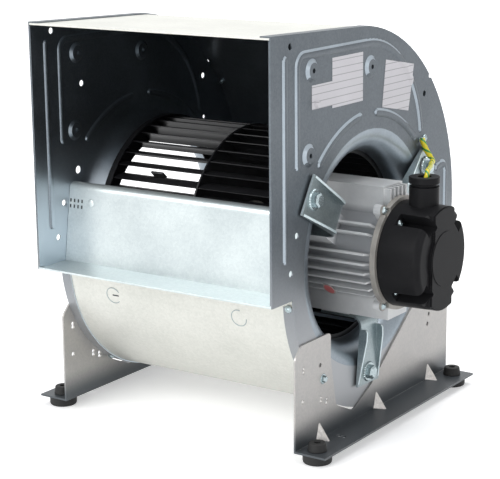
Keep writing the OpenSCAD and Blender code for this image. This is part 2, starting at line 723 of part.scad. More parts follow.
cap_screw_angles = [128, 222, 42, -48];

module bearing(x) on_axis() translate([0, 0, x]) tube(bearing_r, shaft_r + fit_gap, bearing_w);
module bearing_inner() color(core_steel) bearing(bearing_in_x);
module bearing_outer() color(core_steel) bearing(bearing_out_x);

module shield_screws() color(zinc_plate) for (a = lug_angles)
    at_angle(a) translate([lug_r, 0, shield_x + lug_t]) pan_screw(screw_r, lug_t + lug_seat_l - 2, 2 * screw_r);

// ---- terminal cap ----

// The raised front of the cap: a disc with a lobe above and below
module cap_front(grow) {
    circle(r = disc_face_r - grow, $fn = fine_fn);
    intersection() {
        circle(r = cap_r - 1.5 - grow, $fn = fine_fn);
        union() {
            translate([-24 + grow, 0]) square([44 - 2 * grow, 70]);
            translate([-29 + grow, -70]) square([46 - 2 * grow, 70]);
        }
    }
}
disc_face_r = 31.5;
notch_w = 15;
notch_in = 8;

module terminal_cap() color(black_plastic) on_axis() difference() {
    union() {
        translate([0, 0, cap_x]) rotate_extrude($fn = fine_fn)
            polygon(rounded([[0, 0, 0], [cap_r, 0, 0], [cap_r - 1.5, cap_l, 7], [0, cap_l, 0]], true, 5));
        translate([0, 0, cap_face - 9]) linear_extrude(9 + cap_front_h - 1.5) cap_front(0);
        translate([0, 0, cap_face - 9]) linear_extrude(9 + cap_front_h) cap_front(1.5);
        translate([0, 0, cap_face]) cylinder(r = disc_face_r - 3, h = cap_front_h + 0.6, $fn = fine_fn);
        translate([0, 0, gland_x]) rotate([-90, 0, 0]) cylinder(r = gland_r, h = gland_h);
    }
    difference() {
        translate([0, 0, cap_x - cut]) cylinder(r = cap_r - cap_wall - 1.5, h = cap_l - cap_wall + cut);
        for (a = cap_screw_angles) rotate([0, 0, a])
            translate([screw_ring_r - notch_in - cap_wall, -notch_w / 2 - cap_wall, cap_x - 2 * cut])
                cube([40, notch_w + 2 * cap_wall, cap_l + 3 * cut]);
    }
    for (a = cap_screw_angles) rotate([0, 0, a]) translate([screw_ring_r, 0, cap_x]) {
        translate([0, 0, -cut]) cylinder(r = screw_r + bolt_play, h = 40);
        translate([-notch_in, -notch_w / 2, 12]) cube([40, notch_w, cap_l]);
    }
    translate([0, 0, gland_x]) rotate([-90, 0, 0]) translate([0, 0, 30]) cylinder(r = gland_bore_r, h = 60);
}
gland_bore_r = 10;

module cap_screws() color(zinc_plate) for (a = cap_screw_angles)
    at_angle(a) translate([screw_ring_r, 0, cap_x + 12]) pan_screw(screw_r, 12 + shield_t - 1, 4.2);

module terminal_block() color([0.85, 0.83, 0.75]) on_axis() translate([0, -14, cap_x]) difference() {
    translate([-20, -9, 0]) cube([40, 18, 14]);
    for (x = [-13, 0, 13]) translate([x, 0, 6]) cylinder(r = 3, h = 20, $fn = 24);
}

module gland_nut() color(black_plastic) on_axis() translate([0, 0, gland_x]) rotate([-90, 0, 0])
    difference() {
        union() {
            translate([0, 0, gland_h]) cylinder(r = gland_r - 2, h = nut_h, $fn = 48);
            translate([0, 0, gland_h - 6]) cylinder(r = gland_bore_r - fit_gap, h = 7);
            translate([0, 0, gland_h + nut_neck]) cylinder(r = gland_r + 0.5, h = nut_h - nut_neck);
        }
        translate([0, 0, gland_h - 6 - cut]) cylinder(r = seal_r + fit_gap, h = nut_h + 20);
    }
nut_h = 10;
nut_neck = 3;
seal_r = 7;
seal_l = 9;
lead_r = 1.7;

module gland_seal() color(rubber_black) on_axis() translate([0, 0, gland_x]) rotate([-90, 0, 0])
    translate([0, 0, gland_h - 6]) tube(seal_r, lead_r + 4 * fit_gap, seal_l);

// ---- motor arms ----

// A channel that lies along the casing, with its foot bent in beside the motor
module arm(a) color(zinc_plate) at_angle(a) {
    face_x = arm_x + arm_t;
    root_r = arm_seat_r + bend_r + 2;
    side = [[arm_end_r, face_x, 0], [arm_seat_r, face_x, bend_r], [arm_seat_r, arm_foot_x, 0]];
    flange = [[arm_end_r - 3, face_x - arm_t / 2, 0], [arm_end_r - 3, face_x + 0.3, 0],
        [root_r + 12, face_x + arm_flange, 20], [root_r, face_x + arm_flange, 4],
        [root_r, face_x - arm_t / 2, 0]];
    difference() {
        union() {
            intersection() {
                across() polygon(sheet(rounded(side), arm_t));
                translate([0, 0, arm_foot_x - cut]) linear_extrude(200) arm_plan(0, root_r);
            }
            intersection() {
                across() polygon(rounded(flange, true));
                translate([0, 0, arm_foot_x - cut]) linear_extrude(200) difference() {
                    arm_plan(0, root_r);
                    arm_plan(arm_t, root_r);
                }
            }
        }
        translate([arm_bolt_r, 0, arm_x - cut]) cylinder(r = bolt_r + bolt_play, h = arm_t + 2 * cut);
        translate([arm_seat_r - cut, 0, arm_foot_x + arm_foot_l / 2])
            rotate([0, 90, 0]) cylinder(r = screw_r + bolt_play, h = arm_t + 2 * cut);
    }
}

// Draws a side profile of [radius, place along the shaft] across the width of an arm
module across() rotate([90, 0, 0]) translate([0, 0, -arm_w]) linear_extrude(2 * arm_w) children();

// The arm seen along the shaft, with its edges moved in by inset
module arm_plan(inset, root_r) polygon([[arm_seat_r - 10, -arm_root_w / 2 + inset],
    [root_r, -arm_root_w / 2 + inset], [arm_end_r + (inset > 0 ? cut : 0), -arm_w / 2 + inset],
    [arm_end_r + (inset > 0 ? cut : 0), arm_w / 2 - inset], [root_r, arm_root_w / 2 - inset],
    [arm_seat_r - 10, arm_root_w / 2 - inset]]);

module arm_front() arm(arm_angles[0]);
module arm_rear() arm(arm_angles[1]);
module arm_bottom() arm(arm_angles[2]);

module arm_bushes() color(rubber_black) for (a = arm_angles)
    at_angle(a) translate([arm_bolt_r, 0, plate_x]) tube(bush_r, bolt_r + bolt_play, bush_l);

module arm_bolts() color(zinc_plate) for (i = [0:2]) {
    under = i == rear_arm ? washer_t : 0;
    at_angle(arm_angles[i]) translate([arm_bolt_r, 0, arm_x + arm_t + under])
        hex_bolt(arm_t + under + bush_l + plate_t + 8);
}

module arm_nuts() color(zinc_plate) for (a = arm_angles)
    at_angle(a) translate([arm_bolt_r, 0, inner_x]) hex_nut();

module arm_foot_screws() color(zinc_plate) for (a = arm_angles)
    at_angle(a) translate([arm_seat_r + arm_t, 0, arm_foot_x + arm_foot_l / 2])
        rotate([0, 90, 0]) pan_screw(screw_r, 14, 4.4);

rear_arm = 1;
washer_t = 1.2;
washer_r = 10.6;
module toothed_washer() color(core_steel) at_angle(arm_angles[rear_arm])
    translate([arm_bolt_r, 0, arm_x + arm_t]) difference() {
        union() {
            cylinder(r = washer_r, h = washer_t);
            for (k = [0:30:330]) rotate([0, 0, k]) translate([washer_r - 1, -1, 0]) cube([2.4, 2, washer_t]);
        }
        translate([0, 0, -cut]) cylinder(r = bolt_r + bolt_play, h = washer_t + 2 * cut);
    }

// ---- earth lead ----

lead_route = [[gland_x, axis_y, axis_h + gland_h - 4], [gland_x, axis_y, axis_h + gland_h + 3],
    [gland_x + 0.4, axis_y + 1.6, axis_h + gland_h + 6.5], [gland_x + 0.6, axis_y + 4, axis_h + gland_h + 10],
    [gland_x - 3, axis_y + 12, axis_h + gland_h + 13], [gland_x - 11, axis_y + 30, axis_h + gland_h + 11.5],
    [gland_x - 24, axis_y + 57, axis_h + gland_h + 7.5], [gland_x - 36, axis_y + 82, axis_h + gland_h + 4],
    [gland_x - 44, axis_y + 97, axis_h + gland_h + 3],
    [arm_x + 15, earth_place[0] - 10, earth_place[1] - 22],
    [arm_x + 9.5, earth_place[0] - 9, earth_place[1] - 16],
    [arm_x + 6, earth_place[0] - 10, earth_place[1] - 10],
    [arm_x + 4, earth_place[0] - 11, earth_place[1] - 4.5],
    [plate_x + 3.2, earth_place[0] - 9, earth_place[1] - 1],
    [plate_x + 2.9, earth_place[0] - 5.5, earth_place[1]]];

// Points of a smooth curve through the route
function spline(p, steps) = [for (i = [0:len(p) - 2], s = [0:steps - 1])
    let (t = s / steps, p0 = p[max(i - 1, 0)], p1 = p[i], p2 = p[i + 1], p3 = p[min(i + 2, len(p) - 1)])
    0.5 * (2 * p1 + (p2 - p0) * t + (2 * p0 - 5 * p1 + 4 * p2 - p3) * t * t
        + (3 * p1 - p0 - 3 * p2 + p3) * t * t * t)];
lead_path = concat(spline(lead_route, 3), [lead_route[len(lead_route) - 1]]);

module earth_lead() color([0.75, 0.80, 0.10]) {
    n = 8;
    last = len(lead_path) - 1;
    points = [for (i = [0:last])
        let (t = unit(lead_path[min(i + 1, last)] - lead_path[max(i - 1, 0)]),
            u = unit(cross(t, [1, 0.3, 0])), v = cross(t, u))
        each [for (k = [0:n - 1]) lead_path[i] + lead_r * (cos(360 * k / n) * u + sin(360 * k / n) * v)]];
    faces = concat([[for (k = [0:n - 1]) k]],
        [for (i = [0:last - 1], k = [0:n - 1])
            [i * n + k, (i + 1) * n + k, (i + 1) * n + (k + 1) % n, i * n + (k + 1) % n]],
        [[for (k = [n - 1:-1:0]) last * n + k]]);
    polyhedron(points, faces);
}

module ring_terminal() color(zinc_plate) side_on() translate([earth_place[0], earth_place[1], plate_x]) {
    tube(4.5, screw_r + bolt_play, 1);
    translate([-12, -2, 0]) cube([8, 4, 1]);
}

module earth_screw() color(zinc_plate) side_on()
    translate([earth_place[0], earth_place[1], plate_x + 1]) pan_screw(screw_r, plate_t + 7, 4);

side_plate_right();
side_plate_left();
scroll_wrap();
cutoff_panel();
wrap_screws();
leg_right();
leg_left();
leg_bolts();
leg_nuts();
rubber_feet();
impeller_disc();
blades_left();
blades_right();
end_ring_left();
end_ring_right();
hub();
hub_rivets();
set_screw();
balance_clip();
motor_shaft();
rotor_core();
stator_core();
stator_windings();
motor_housing();
drive_end_shield();
outer_end_shield();
bearing_inner();
bearing_outer();
shield_screws();
terminal_cap();
cap_screws();
terminal_block();
gland_nut();
gland_seal();
arm_front();
arm_rear();
arm_bottom();
arm_bushes();
arm_bolts();
arm_nuts();
arm_foot_screws();
toothed_washer();
earth_lead();
ring_terminal();
earth_screw();
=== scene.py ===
"""Finished look of a double-inlet blower: sheet casing, painted impeller, cast motor and moulded cap."""
import math

import bmesh
import bpy
from bpy.props import FloatProperty, FloatVectorProperty, IntProperty, PointerProperty
from bpy.types import Operator, Panel, PropertyGroup
from mathutils import Matrix, Vector
from mathutils.bvhtree import BVHTree


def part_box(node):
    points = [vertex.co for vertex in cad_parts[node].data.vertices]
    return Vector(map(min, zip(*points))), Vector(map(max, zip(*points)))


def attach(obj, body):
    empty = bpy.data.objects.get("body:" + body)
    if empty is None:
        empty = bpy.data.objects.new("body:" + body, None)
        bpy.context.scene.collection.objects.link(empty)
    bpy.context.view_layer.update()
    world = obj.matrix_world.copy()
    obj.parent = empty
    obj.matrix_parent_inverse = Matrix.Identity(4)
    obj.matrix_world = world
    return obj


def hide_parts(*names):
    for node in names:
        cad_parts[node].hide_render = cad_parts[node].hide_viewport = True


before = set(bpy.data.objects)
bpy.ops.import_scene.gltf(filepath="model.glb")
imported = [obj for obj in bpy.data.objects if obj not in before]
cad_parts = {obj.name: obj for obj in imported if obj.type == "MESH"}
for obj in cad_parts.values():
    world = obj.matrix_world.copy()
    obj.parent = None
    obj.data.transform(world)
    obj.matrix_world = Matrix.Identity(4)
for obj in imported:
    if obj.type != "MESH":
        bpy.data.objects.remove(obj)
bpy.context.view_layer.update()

bl_info = {
    "name": "Double-inlet blower",
    "version": (1, 0, 0),
    "blender": (4, 5, 0),
    "location": "View3D > Sidebar > Blower",
    "description": "Builds the finished surfaces of a direct-drive blower over its packed parts",
    "category": "Add Mesh",
}

MM = 0.001


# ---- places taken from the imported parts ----

def middle(node_name):
    """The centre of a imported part's box."""
    low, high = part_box(node_name)
    return (low + high) / 2


AXIS = middle("motor_shaft")
AXIS.x = 0
PLATE_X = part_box("leg_right")[0].x  # outer face of the right side plate
INNER_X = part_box("leg_nuts")[1].x  # inner face of the right side plate
OUTLET_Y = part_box("side_plate_right")[0].y
OUTLET_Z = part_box("cutoff_panel")[0].z
LEG_FOOT_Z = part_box("leg_right")[0].z

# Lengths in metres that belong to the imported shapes
BELL_REACH = 0.1268  # the drawn bells lie within this radius
# Painted shade: the legs are darkened from their foot up to these heights
FOLD_SHADE_START, FOLD_SHADE_END = 0.004, 0.036  # heights over a leg's foot between which its dark fold fades
FIN_ROOT, FIN_TIP = 0.0470, 0.0540  # radii of the motor's fins
BOLT_HEAD = 0.0062  # height of a packed bolt's head over its seat
SHANK_RADIUS = 0.004
STICKER_X, STICKER_RADIUS, STICKER_TURN = 0.1250, 0.0550, 226
KNOCKOUT_Z = 0.1397


def on_plate(back, up):
    """A point on the outer face of the right side plate, measured from the outlet's lower front corner."""
    return Vector((PLATE_X, OUTLET_Y + back * MM, OUTLET_Z + up * MM))


def about_shaft(x, radius, angle):
    """A point at a radius and angle about the shaft, with the angle counted from the back upwards."""
    turn = math.radians(angle)
    return Vector((x, AXIS.y + radius * math.cos(turn), AXIS.z + radius * math.sin(turn)))


def from_shaft(point):
    """The distance of a point from the shaft's axis."""
    return math.hypot(point.y - AXIS.y, point.z - AXIS.z)


def to_shaft(point):
    """The way from a point straight to the shaft's axis."""
    return Vector((0, AXIS.y - point.y, AXIS.z - point.z))


def facing(point, out, up=Vector((0, 0, 1))):
    """A matrix that puts local Z along out at a point."""
    z = out.normalized()
    x = up.cross(z)
    x = x.normalized() if x.length > 1e-6 else Vector((1, 0, 0))
    turn = Matrix((x, z.cross(x), z)).transposed()
    return Matrix.Translation(point) @ turn.to_4x4()


# ---- settings ----

def size(name, millimetres, description):
    """A length that a user may change, given here in millimetres."""
    return FloatProperty(name=name, description=description, default=millimetres * MM, min=0.0, max=0.05,
                         precision=5, subtype="DISTANCE")


def colour(name, default, description):
    """A colour that a user may change."""
    return FloatVectorProperty(name=name, description=description, default=default + (1,), size=4, min=0,
                               max=1, subtype="COLOR")


class BlowerSizes(PropertyGroup):
    """Lengths of the finish"""
    sheet_edge: size("Sheet edge", 0.25, "Rounding of cut sheet edges")
    fold_edge: size("Fold edge", 0.6, "Rounding of folds in heavy sheet")
    cast_edge: size("Cast edge", 0.5, "Rounding of edges on castings")
    moulded_edge: size("Moulded edge", 0.9, "Rounding of edges on mouldings")
    label_lift: size("Label lift", 0.22, "Thickness of a label over the sheet")
    knockout_radius: size("Knock-out radius", 9.0, "Radius of a knock-out in the wrap")
    dot_radius: size("Dot radius", 6.6, "Radius of the round sticker on the motor")
    bolt_flats: size("Bolt flats", 13.0, "Width across the flats of the arms' hex bolts")
    leg_screw_flats: size("Leg screw flats", 6.5, "Width across the flats of the legs' screws")
    flange_teeth: IntProperty(name="Flange teeth", description="Teeth around a bolt's flange", default=30,
                              min=12, max=60)
    lead_radius: size("Lead radius", 1.8, "Radius of the earth lead")
    sleeve_radius: size("Sleeve radius", 3.0, "Radius of the sleeve over the lead's end")


class BlowerColours(PropertyGroup):
    """Colours of the finishes"""
    plate: colour("Side plates", (0.134, 0.154, 0.172), "Galvanised side plates")
    plate_dark: colour("Side plate shadows", (0.092, 0.108, 0.124), "Darker crystals of the side plates")
    # Painted light: the side plates turn lighter toward the floor, standing in for light from below
    plate_painted_light: colour("Side plates painted lighter below", (0.40, 0.41, 0.425), "Side plates toward the floor")
    wrap: colour("Wrap", (0.74, 0.74, 0.69), "Bright sheet of the wrap")
    wrap_dark: colour("Wrap shadows", (0.63, 0.635, 0.585), "Darker crystals of the wrap")
    panel: colour("Cut-off panel", (0.66, 0.72, 0.72), "Bright sheet of the cut-off panel")
    panel_dark: colour("Cut-off panel shadows", (0.52, 0.58, 0.59), "Darker crystals of the cut-off panel")
    # Painted shade: the inner faces of the bright wrap and cut-off panel take this darker tone, and low down
    # it turns lighter as painted light
    inside: colour("Casing inside", (0.21, 0.236, 0.26), "Inner faces of the casing")
    leg: colour("Legs", (0.50, 0.48, 0.46), "Galvanised legs")
    leg_dark: colour("Leg shadows", (0.42, 0.41, 0.40), "Darker crystals of the legs")
    # Painted shade: the legs' foot flanges and the foot of their webs are darkened, standing in for shade and
    # dark reflections at the fold
    leg_fold_painted_shade: colour("Leg fold painted shade", (0.055, 0.068, 0.080), "Tone of the legs' foot flanges")
    zinc: colour("Zinc", (0.52, 0.60, 0.62), "Zinc-plated arms and fasteners")
    zinc_dark: colour("Zinc shadows", (0.32, 0.39, 0.41), "Darker tone of the zinc plating")
    paint: colour("Impeller paint", (0.010, 0.010, 0.011), "Black paint of the impeller")
    cast: colour("Casting", (0.80, 0.81, 0.81), "Extruded and cast motor body")
    cast_dark: colour("Casting shadows", (0.62, 0.63, 0.64), "Darker tone of the motor body")
    # Painted shade: the motor body is darkened down between its fins
    cast_gap_painted_shade: colour("Casting gaps painted shade", (0.36, 0.37, 0.385), "Tone of the motor body down between its fins")
    ring: colour("End shield", (0.42, 0.40, 0.37), "Cast end shields")
    plastic: colour("Cap", (0.013, 0.013, 0.014), "Black moulded cap")
    block: colour("Terminal block", (0.62, 0.6, 0.5), "Moulded terminal block")
    block_dark: colour("Terminal block shadows", (0.5, 0.48, 0.4), "Darker tone of the terminal block")
    rubber: colour("Rubber", (0.018, 0.018, 0.018), "Black rubber")
    steel: colour("Steel", (0.30, 0.31, 0.32), "Plain machined steel")
    copper: colour("Windings", (0.45, 0.16, 0.06), "Enamelled copper windings")
    lead: colour("Lead", (0.80, 0.66, 0.02), "Yellow of the earth lead")
    lead_stripe: colour("Lead stripe", (0.05, 0.28, 0.04), "Green of the earth lead")
    label: colour("Label", (0.72, 0.70, 0.73), "Blank label stock")
    rule: colour("Label rule", (0.30, 0.29, 0.31), "Plain ruled lines on a label")
    dot: colour("Dot", (0.62, 0.17, 0.17), "Plain round sticker")
    dot_rim: colour("Dot rim", (0.5, 0.44, 0.42), "Rim of the round sticker")
    dot_rim_dark: colour("Dot rim shadows", (0.42, 0.36, 0.34), "Darker tone of the sticker's rim")
    # Painted shadow: the slots are dark blocks on the sheet that stand in for the shade inside punched holes
    slot: colour("Slot", (0.05, 0.055, 0.06), "Slots punched in the panel")
    slot_dark: colour("Slot shadows", (0.03, 0.035, 0.04), "Darker tone of the slots")


def tint(key, factor=1.0):
    """A colour from the settings, times a factor."""
    value = getattr(bpy.context.scene.blower_colours, key)
    return tuple(min(1.0, part * factor) for part in value[:3]) + (1.0,)


def set_up(made, **settings):
    """Sets properties of a new node, modifier, lamp or camera, and returns it."""
    for key, value in settings.items():
        setattr(made, key, value)
    return made


def add_object(name, data):
    """A new object in the scene."""
    made = bpy.data.objects.new(name, data)
    bpy.context.scene.collection.objects.link(made)
    return made


def sizes():
    """The lengths that a user may change."""
    return bpy.context.scene.blower_sizes


# ---- shader nodes ----

def node(tree, kind, links=None, **settings):
    """Adds a node, sets its properties and feeds its inputs by name or number."""
    made = set_up(tree.nodes.new(kind), **settings)
    for key, value in (links or {}).items():
        socket = made.inputs[key]
        if isinstance(value, bpy.types.NodeSocket):
            tree.links.new(value, socket)
        else:
            socket.default_value = value
    return made


def math_node(tree, operation, a, b=0.0, c=0.0, clamp=False):
    """The result of an operation on numbers."""
    return node(tree, "ShaderNodeMath", {0: a, 1: b, 2: c}, operation=operation, use_clamp=clamp).outputs[0]


def vector_node(tree, operation, a, b):
    """The result of an operation on two vectors."""
    return node(tree, "ShaderNodeVectorMath", {0: a, 1: b}, operation=operation).outputs[0]


def seen_by(tree, first, *others):
    """One for rays of the kinds named, and zero for the rest."""
    path = tree.nodes.new("ShaderNodeLightPath").outputs
    seen = path[first]
    for ray in others:
        seen = math_node(tree, "MAXIMUM", seen, path[ray])
    return seen


def length_of(tree, vector):
    """The length of a vector."""
    return node(tree, "ShaderNodeVectorMath", {0: vector}, operation="LENGTH").outputs["Value"]


def object_point(tree):
    """The point that is shaded, in the object's own coordinates."""
    return tree.nodes.new("ShaderNodeTexCoord").outputs["Object"]


def height(tree):
    """The height of the shaded point over the floor."""
    return node(tree, "ShaderNodeSeparateXYZ", {0: object_point(tree)}).outputs["Z"]


def noise(tree, point, scale, detail, roughness=0.5):
    """The outputs of a noise texture."""
    return node(tree, "ShaderNodeTexNoise", {
        "Vector": point, "Scale": scale, "Detail": detail, "Roughness": roughness}).outputs


def ranged(tree, value, low, high, to_low, to_high, smooth=False):
    """A number taken from one range to another and held there."""
    return node(tree, "ShaderNodeMapRange", {
        "Value": value, "From Min": low, "From Max": high, "To Min": to_low, "To Max": to_high},
        interpolation_type="SMOOTHSTEP" if smooth else "LINEAR").outputs[0]


def mixed(tree, factor, first, second):
    """A colour that goes from the first to the second as a factor goes from zero to one."""
    return node(tree, "ShaderNodeMix", {"Factor": factor, 6: first, 7: second}, data_type="RGBA").outputs[2]


def between(tree, texture, dark, light):
    """A colour that runs from dark to light over the middle of a texture's range."""
    return mixed(tree, ranged(tree, texture, 0.3, 0.7, 0.0, 1.0), dark, light)


def varied(tree, texture, low, high):
    """A number that runs from low to high with a texture."""
    return ranged(tree, texture, 0.25, 0.75, low, high)


# ---- shader groups ----

def new_group(name, inputs):
    """A shader node group with float inputs, and their sockets inside it."""
    tree = bpy.data.node_groups.new(name, "ShaderNodeTree")
    for label, default in inputs.items():
        socket = tree.interface.new_socket(label, in_out="INPUT", socket_type="NodeSocketFloat")
        socket.default_value = default
    return tree, tree.nodes.new("NodeGroupInput").outputs


def put_out(tree, values):
    """Gives a group its outputs, and returns it."""
    for label in values:
        tree.interface.new_socket(label, in_out="OUTPUT", socket_type="NodeSocketFloat")
    out = tree.nodes.new("NodeGroupOutput")
    for label, value in values.items():
        tree.links.new(value, out.inputs[label])
    return tree


def spangle_group(name):
    """Zinc coat: a shade for each small crystal, fine specks, a smooth relief and a cloudy tone."""
    speck_scale, warp_length = 950.0, 0.0015
    tree, given = new_group(name, {"Crystals": 500.0, "Clouds": 14.0})
    point, crystals = object_point(tree), given["Crystals"]
    warp = noise(tree, point, crystals, 2.0)["Color"]
    bent = node(tree, "ShaderNodeVectorMath", {0: warp, "Scale": warp_length}, operation="SCALE").outputs[0]
    cells = node(tree, "ShaderNodeTexVoronoi", {
        "Vector": vector_node(tree, "ADD", point, bent), "Scale": crystals}).outputs["Color"]
    return put_out(tree, {
        "Shade": node(tree, "ShaderNodeSeparateColor", {"Color": cells}).outputs[0],
        "Speck": noise(tree, point, speck_scale, 1.0)["Fac"],
        "Relief": noise(tree, point, math_node(tree, "MULTIPLY", crystals, 0.5), 1.0)["Fac"],
        "Cloud": noise(tree, point, given["Clouds"], 4.0, 0.55)["Fac"]})


def rolling_group(name):
    """Faint lines that rolling leaves in sheet, along the shaft."""
    tree, given = new_group(name, {"Fineness": 420.0})
    squeezed = vector_node(tree, "MULTIPLY", object_point(tree), (0.02, 1.0, 1.0))
    return put_out(tree, {"Line": noise(tree, squeezed, given["Fineness"], 3.0)["Fac"]})


def grain_group(name):
    """Fine even grain with a slow tone change, for paint, castings, mouldings and rubber."""
    tree, given = new_group(name, {"Grain": 900.0, "Patch": 22.0})
    point = object_point(tree)
    return put_out(tree, {
        "Grain": noise(tree, point, given["Grain"], 3.0)["Fac"],
        "Patch": noise(tree, point, given["Patch"], 4.0, 0.6)["Fac"]})


GROUPS = {"Zinc spangle": spangle_group, "Rolling lines": rolling_group, "Fine grain": grain_group}


def use_group(tree, name, **values):
    """The outputs of a shared group placed with its own values. The group is made the first time."""
    made = tree.nodes.new("ShaderNodeGroup")
    made.node_tree = bpy.data.node_groups.get(name) or GROUPS[name](name)
    for key, value in values.items():
        made.inputs[key].default_value = value
    return made.outputs


# ---- masks ----

def fold_shade_mask(tree):
    """Painted shade: one on a leg's foot flange, falling to zero up its web, and zero on its slanting
    gussets.
    """
    start, end = LEG_FOOT_Z + FOLD_SHADE_START, LEG_FOOT_Z + FOLD_SHADE_END
    near = ranged(tree, height(tree), start, end, 0.92, 0.0, smooth=True)
    normal = tree.nodes.new("ShaderNodeNewGeometry").outputs["Normal"]
    way = node(tree, "ShaderNodeSeparateXYZ", {0: normal}).outputs
    slant = math_node(tree, "ABSOLUTE", math_node(tree, "MULTIPLY", way["X"], way["Z"]))
    level = math_node(tree, "SUBTRACT", 1.0, math_node(tree, "MULTIPLY", slant, 2.2), clamp=True)
    return math_node(tree, "MULTIPLY", near, level)


def painted_low_light_mask(bottom, top):
    """Makes a mask that falls from one at a low height to zero at a high one, which places painted light low
    on the casing.
    """
    return lambda tree: ranged(tree, height(tree), bottom, top, 1.0, 0.0, smooth=True)


def fin_gap_shade_mask(tree):
    """Painted shade: one down between the motor's fins and zero at their tips."""
    away = vector_node(tree, "SUBTRACT", object_point(tree), AXIS)
    reach = length_of(tree, vector_node(tree, "MULTIPLY", away, (0.0, 1.0, 1.0)))
    return ranged(tree, reach, FIN_ROOT, FIN_TIP, 1.0, 0.0)


# ---- finishes ----

# Sheet: darker colour, its factor, lighter colour, its factor, metallic, roughness, crystals, contrast
SHEET_FINISHES = {
    "Galvanised plate": ("plate_dark", 1, "plate", 1, 0.6, 0.40, 500, 0.2),
    # Painted highlight: a lighter copy of the plate, for the bells' sheen and the light-facing flanks of the
    # inner beads
    "Drawn bell": ("plate", 1.6, "plate", 2.2, 0.85, 0.34, 500, 0.1),
    # Painted highlight: a much lighter copy of the plate on bead flanks that face the light
    "Pressed edge": ("plate", 2.5, "plate", 3.2, 0.45, 0.35, 500, 0.1),
    # Painted shade on the inner faces of the wrap and panel, with painted light low down
    "Casing inside": ("inside", 0.7, "inside", 1, 0.9, 0.36, 500, 0.2),
    "Bright wrap": ("wrap_dark", 1, "wrap", 1, 0.35, 0.38, 400, 0.2),
    "Bright panel": ("panel_dark", 1, "panel", 1, 0.5, 0.32, 400, 0.15),
    "Leg sheet": ("leg_dark", 1, "leg", 1, 0.5, 0.38, 450, 0.2),
    # Painted highlight: a lighter copy of the leg sheet on the slanting gussets
    "Leg gusset": ("leg", 0.95, "leg", 1.45, 0.5, 0.32, 450, 0.2),
    "Zinc plating": ("zinc_dark", 1, "zinc", 1, 0.9, 0.26, 700, 0.15),
    "Arm plating": ("zinc_dark", 0.75, "zinc", 0.72, 0.85, 0.33, 700, 0.15),
    "Bare edge": ("zinc", 1.1, "zinc", 1.45, 0.5, 0.35, 700, 0.15),
}

# Others: colours and factors as above, metallic, roughness, grain, patch, relief, coat, specular
GRAINED_FINISHES = {
    "Impeller paint": ("paint", 1, "paint", 1.8, 0.0, 0.36, 700, 30, 0.00002, 0.05, 0.22),
    "Motor casting": ("cast_dark", 1, "cast", 1, 0.15, 0.36, 1000, 26),
    "Shield casting": ("ring", 0.7, "ring", 1, 0.55, 0.5, 800, 40, 0.00006),
    "Moulded cap": ("plastic", 1, "plastic", 1.35, 0.0, 0.34, 1300, 30, 0.00002, 0.0, 0.05),
    "Black rubber": ("rubber", 1, "rubber", 1.6, 0.0, 0.62, 900, 30, 0.00004, 0.0, 0.3),
    "Plain steel": ("steel", 0.7, "steel", 1, 0.9, 0.33, 1200, 60, 0.00002),
    "Copper windings": ("copper", 0.6, "copper", 1, 0.6, 0.35, 500, 60, 0.0002),
    "Block plastic": ("block_dark", 1, "block", 1, 0.0, 0.5, 900, 22),
    "Dot sticker": ("dot", 0.8, "dot", 1, 0.0, 0.45, 1500, 90),
    "Dot rim": ("dot_rim_dark", 1, "dot_rim", 1, 0.0, 0.45, 1500, 90),
    # Painted shadow: dark blocks in place of the shade inside punched slots
    "Dark slot": ("slot_dark", 1, "slot", 1, 0.2, 0.6, 1500, 90),
}

# Where a finish has painted light or shade: that tone, its factor and the maker of its mask
PAINTED_LIGHT_AND_SHADE = {
    # Painted light: the side plates are lighter low down
    "Galvanised plate": ("plate_painted_light", 1, painted_low_light_mask(0.05, 0.26)),
    # Painted light: the casing's inner faces are lighter toward the bottom
    "Casing inside": ("inside", 3.4, painted_low_light_mask(0.17, 0.33)),
    # Painted shade: the legs are darker at their foot flanges
    "Leg sheet": ("leg_fold_painted_shade", 1, fold_shade_mask),
    # Painted shade: the motor body is darker between its fins
    "Motor casting": ("cast_gap_painted_shade", 1, fin_gap_shade_mask),
}


def start_material(name, constants):
    """A fresh material and its shader, with constants set on the shader's own sockets."""
    made = bpy.data.materials.new(name)
    made.use_nodes = True
    tree = made.node_tree
    tree.nodes.clear()
    out = tree.nodes.new("ShaderNodeOutputMaterial")
    shader = node(tree, "ShaderNodeBsdfPrincipled", constants)
    tree.links.new(shader.outputs[0], out.inputs[0])
    return made, tree, shader


def bumped(tree, shader, relief, distance, strength=1.0):
    """Gives a shader a relief."""
    bump = node(tree, "ShaderNodeBump", {"Height": relief, "Strength": strength, "Distance": distance})
    tree.links.new(bump.outputs[0], shader.inputs["Normal"])


def coloured(tree, shader, base, name=""):
    """Feeds a shader its colour, with painted light or shade mixed in where the finish has it."""
    if name in PAINTED_LIGHT_AND_SHADE:
        key, factor, mask = PAINTED_LIGHT_AND_SHADE[name]
        base = mixed(tree, mask(tree), base, tint(key, factor))
    tree.links.new(base, shader.inputs["Base Color"])


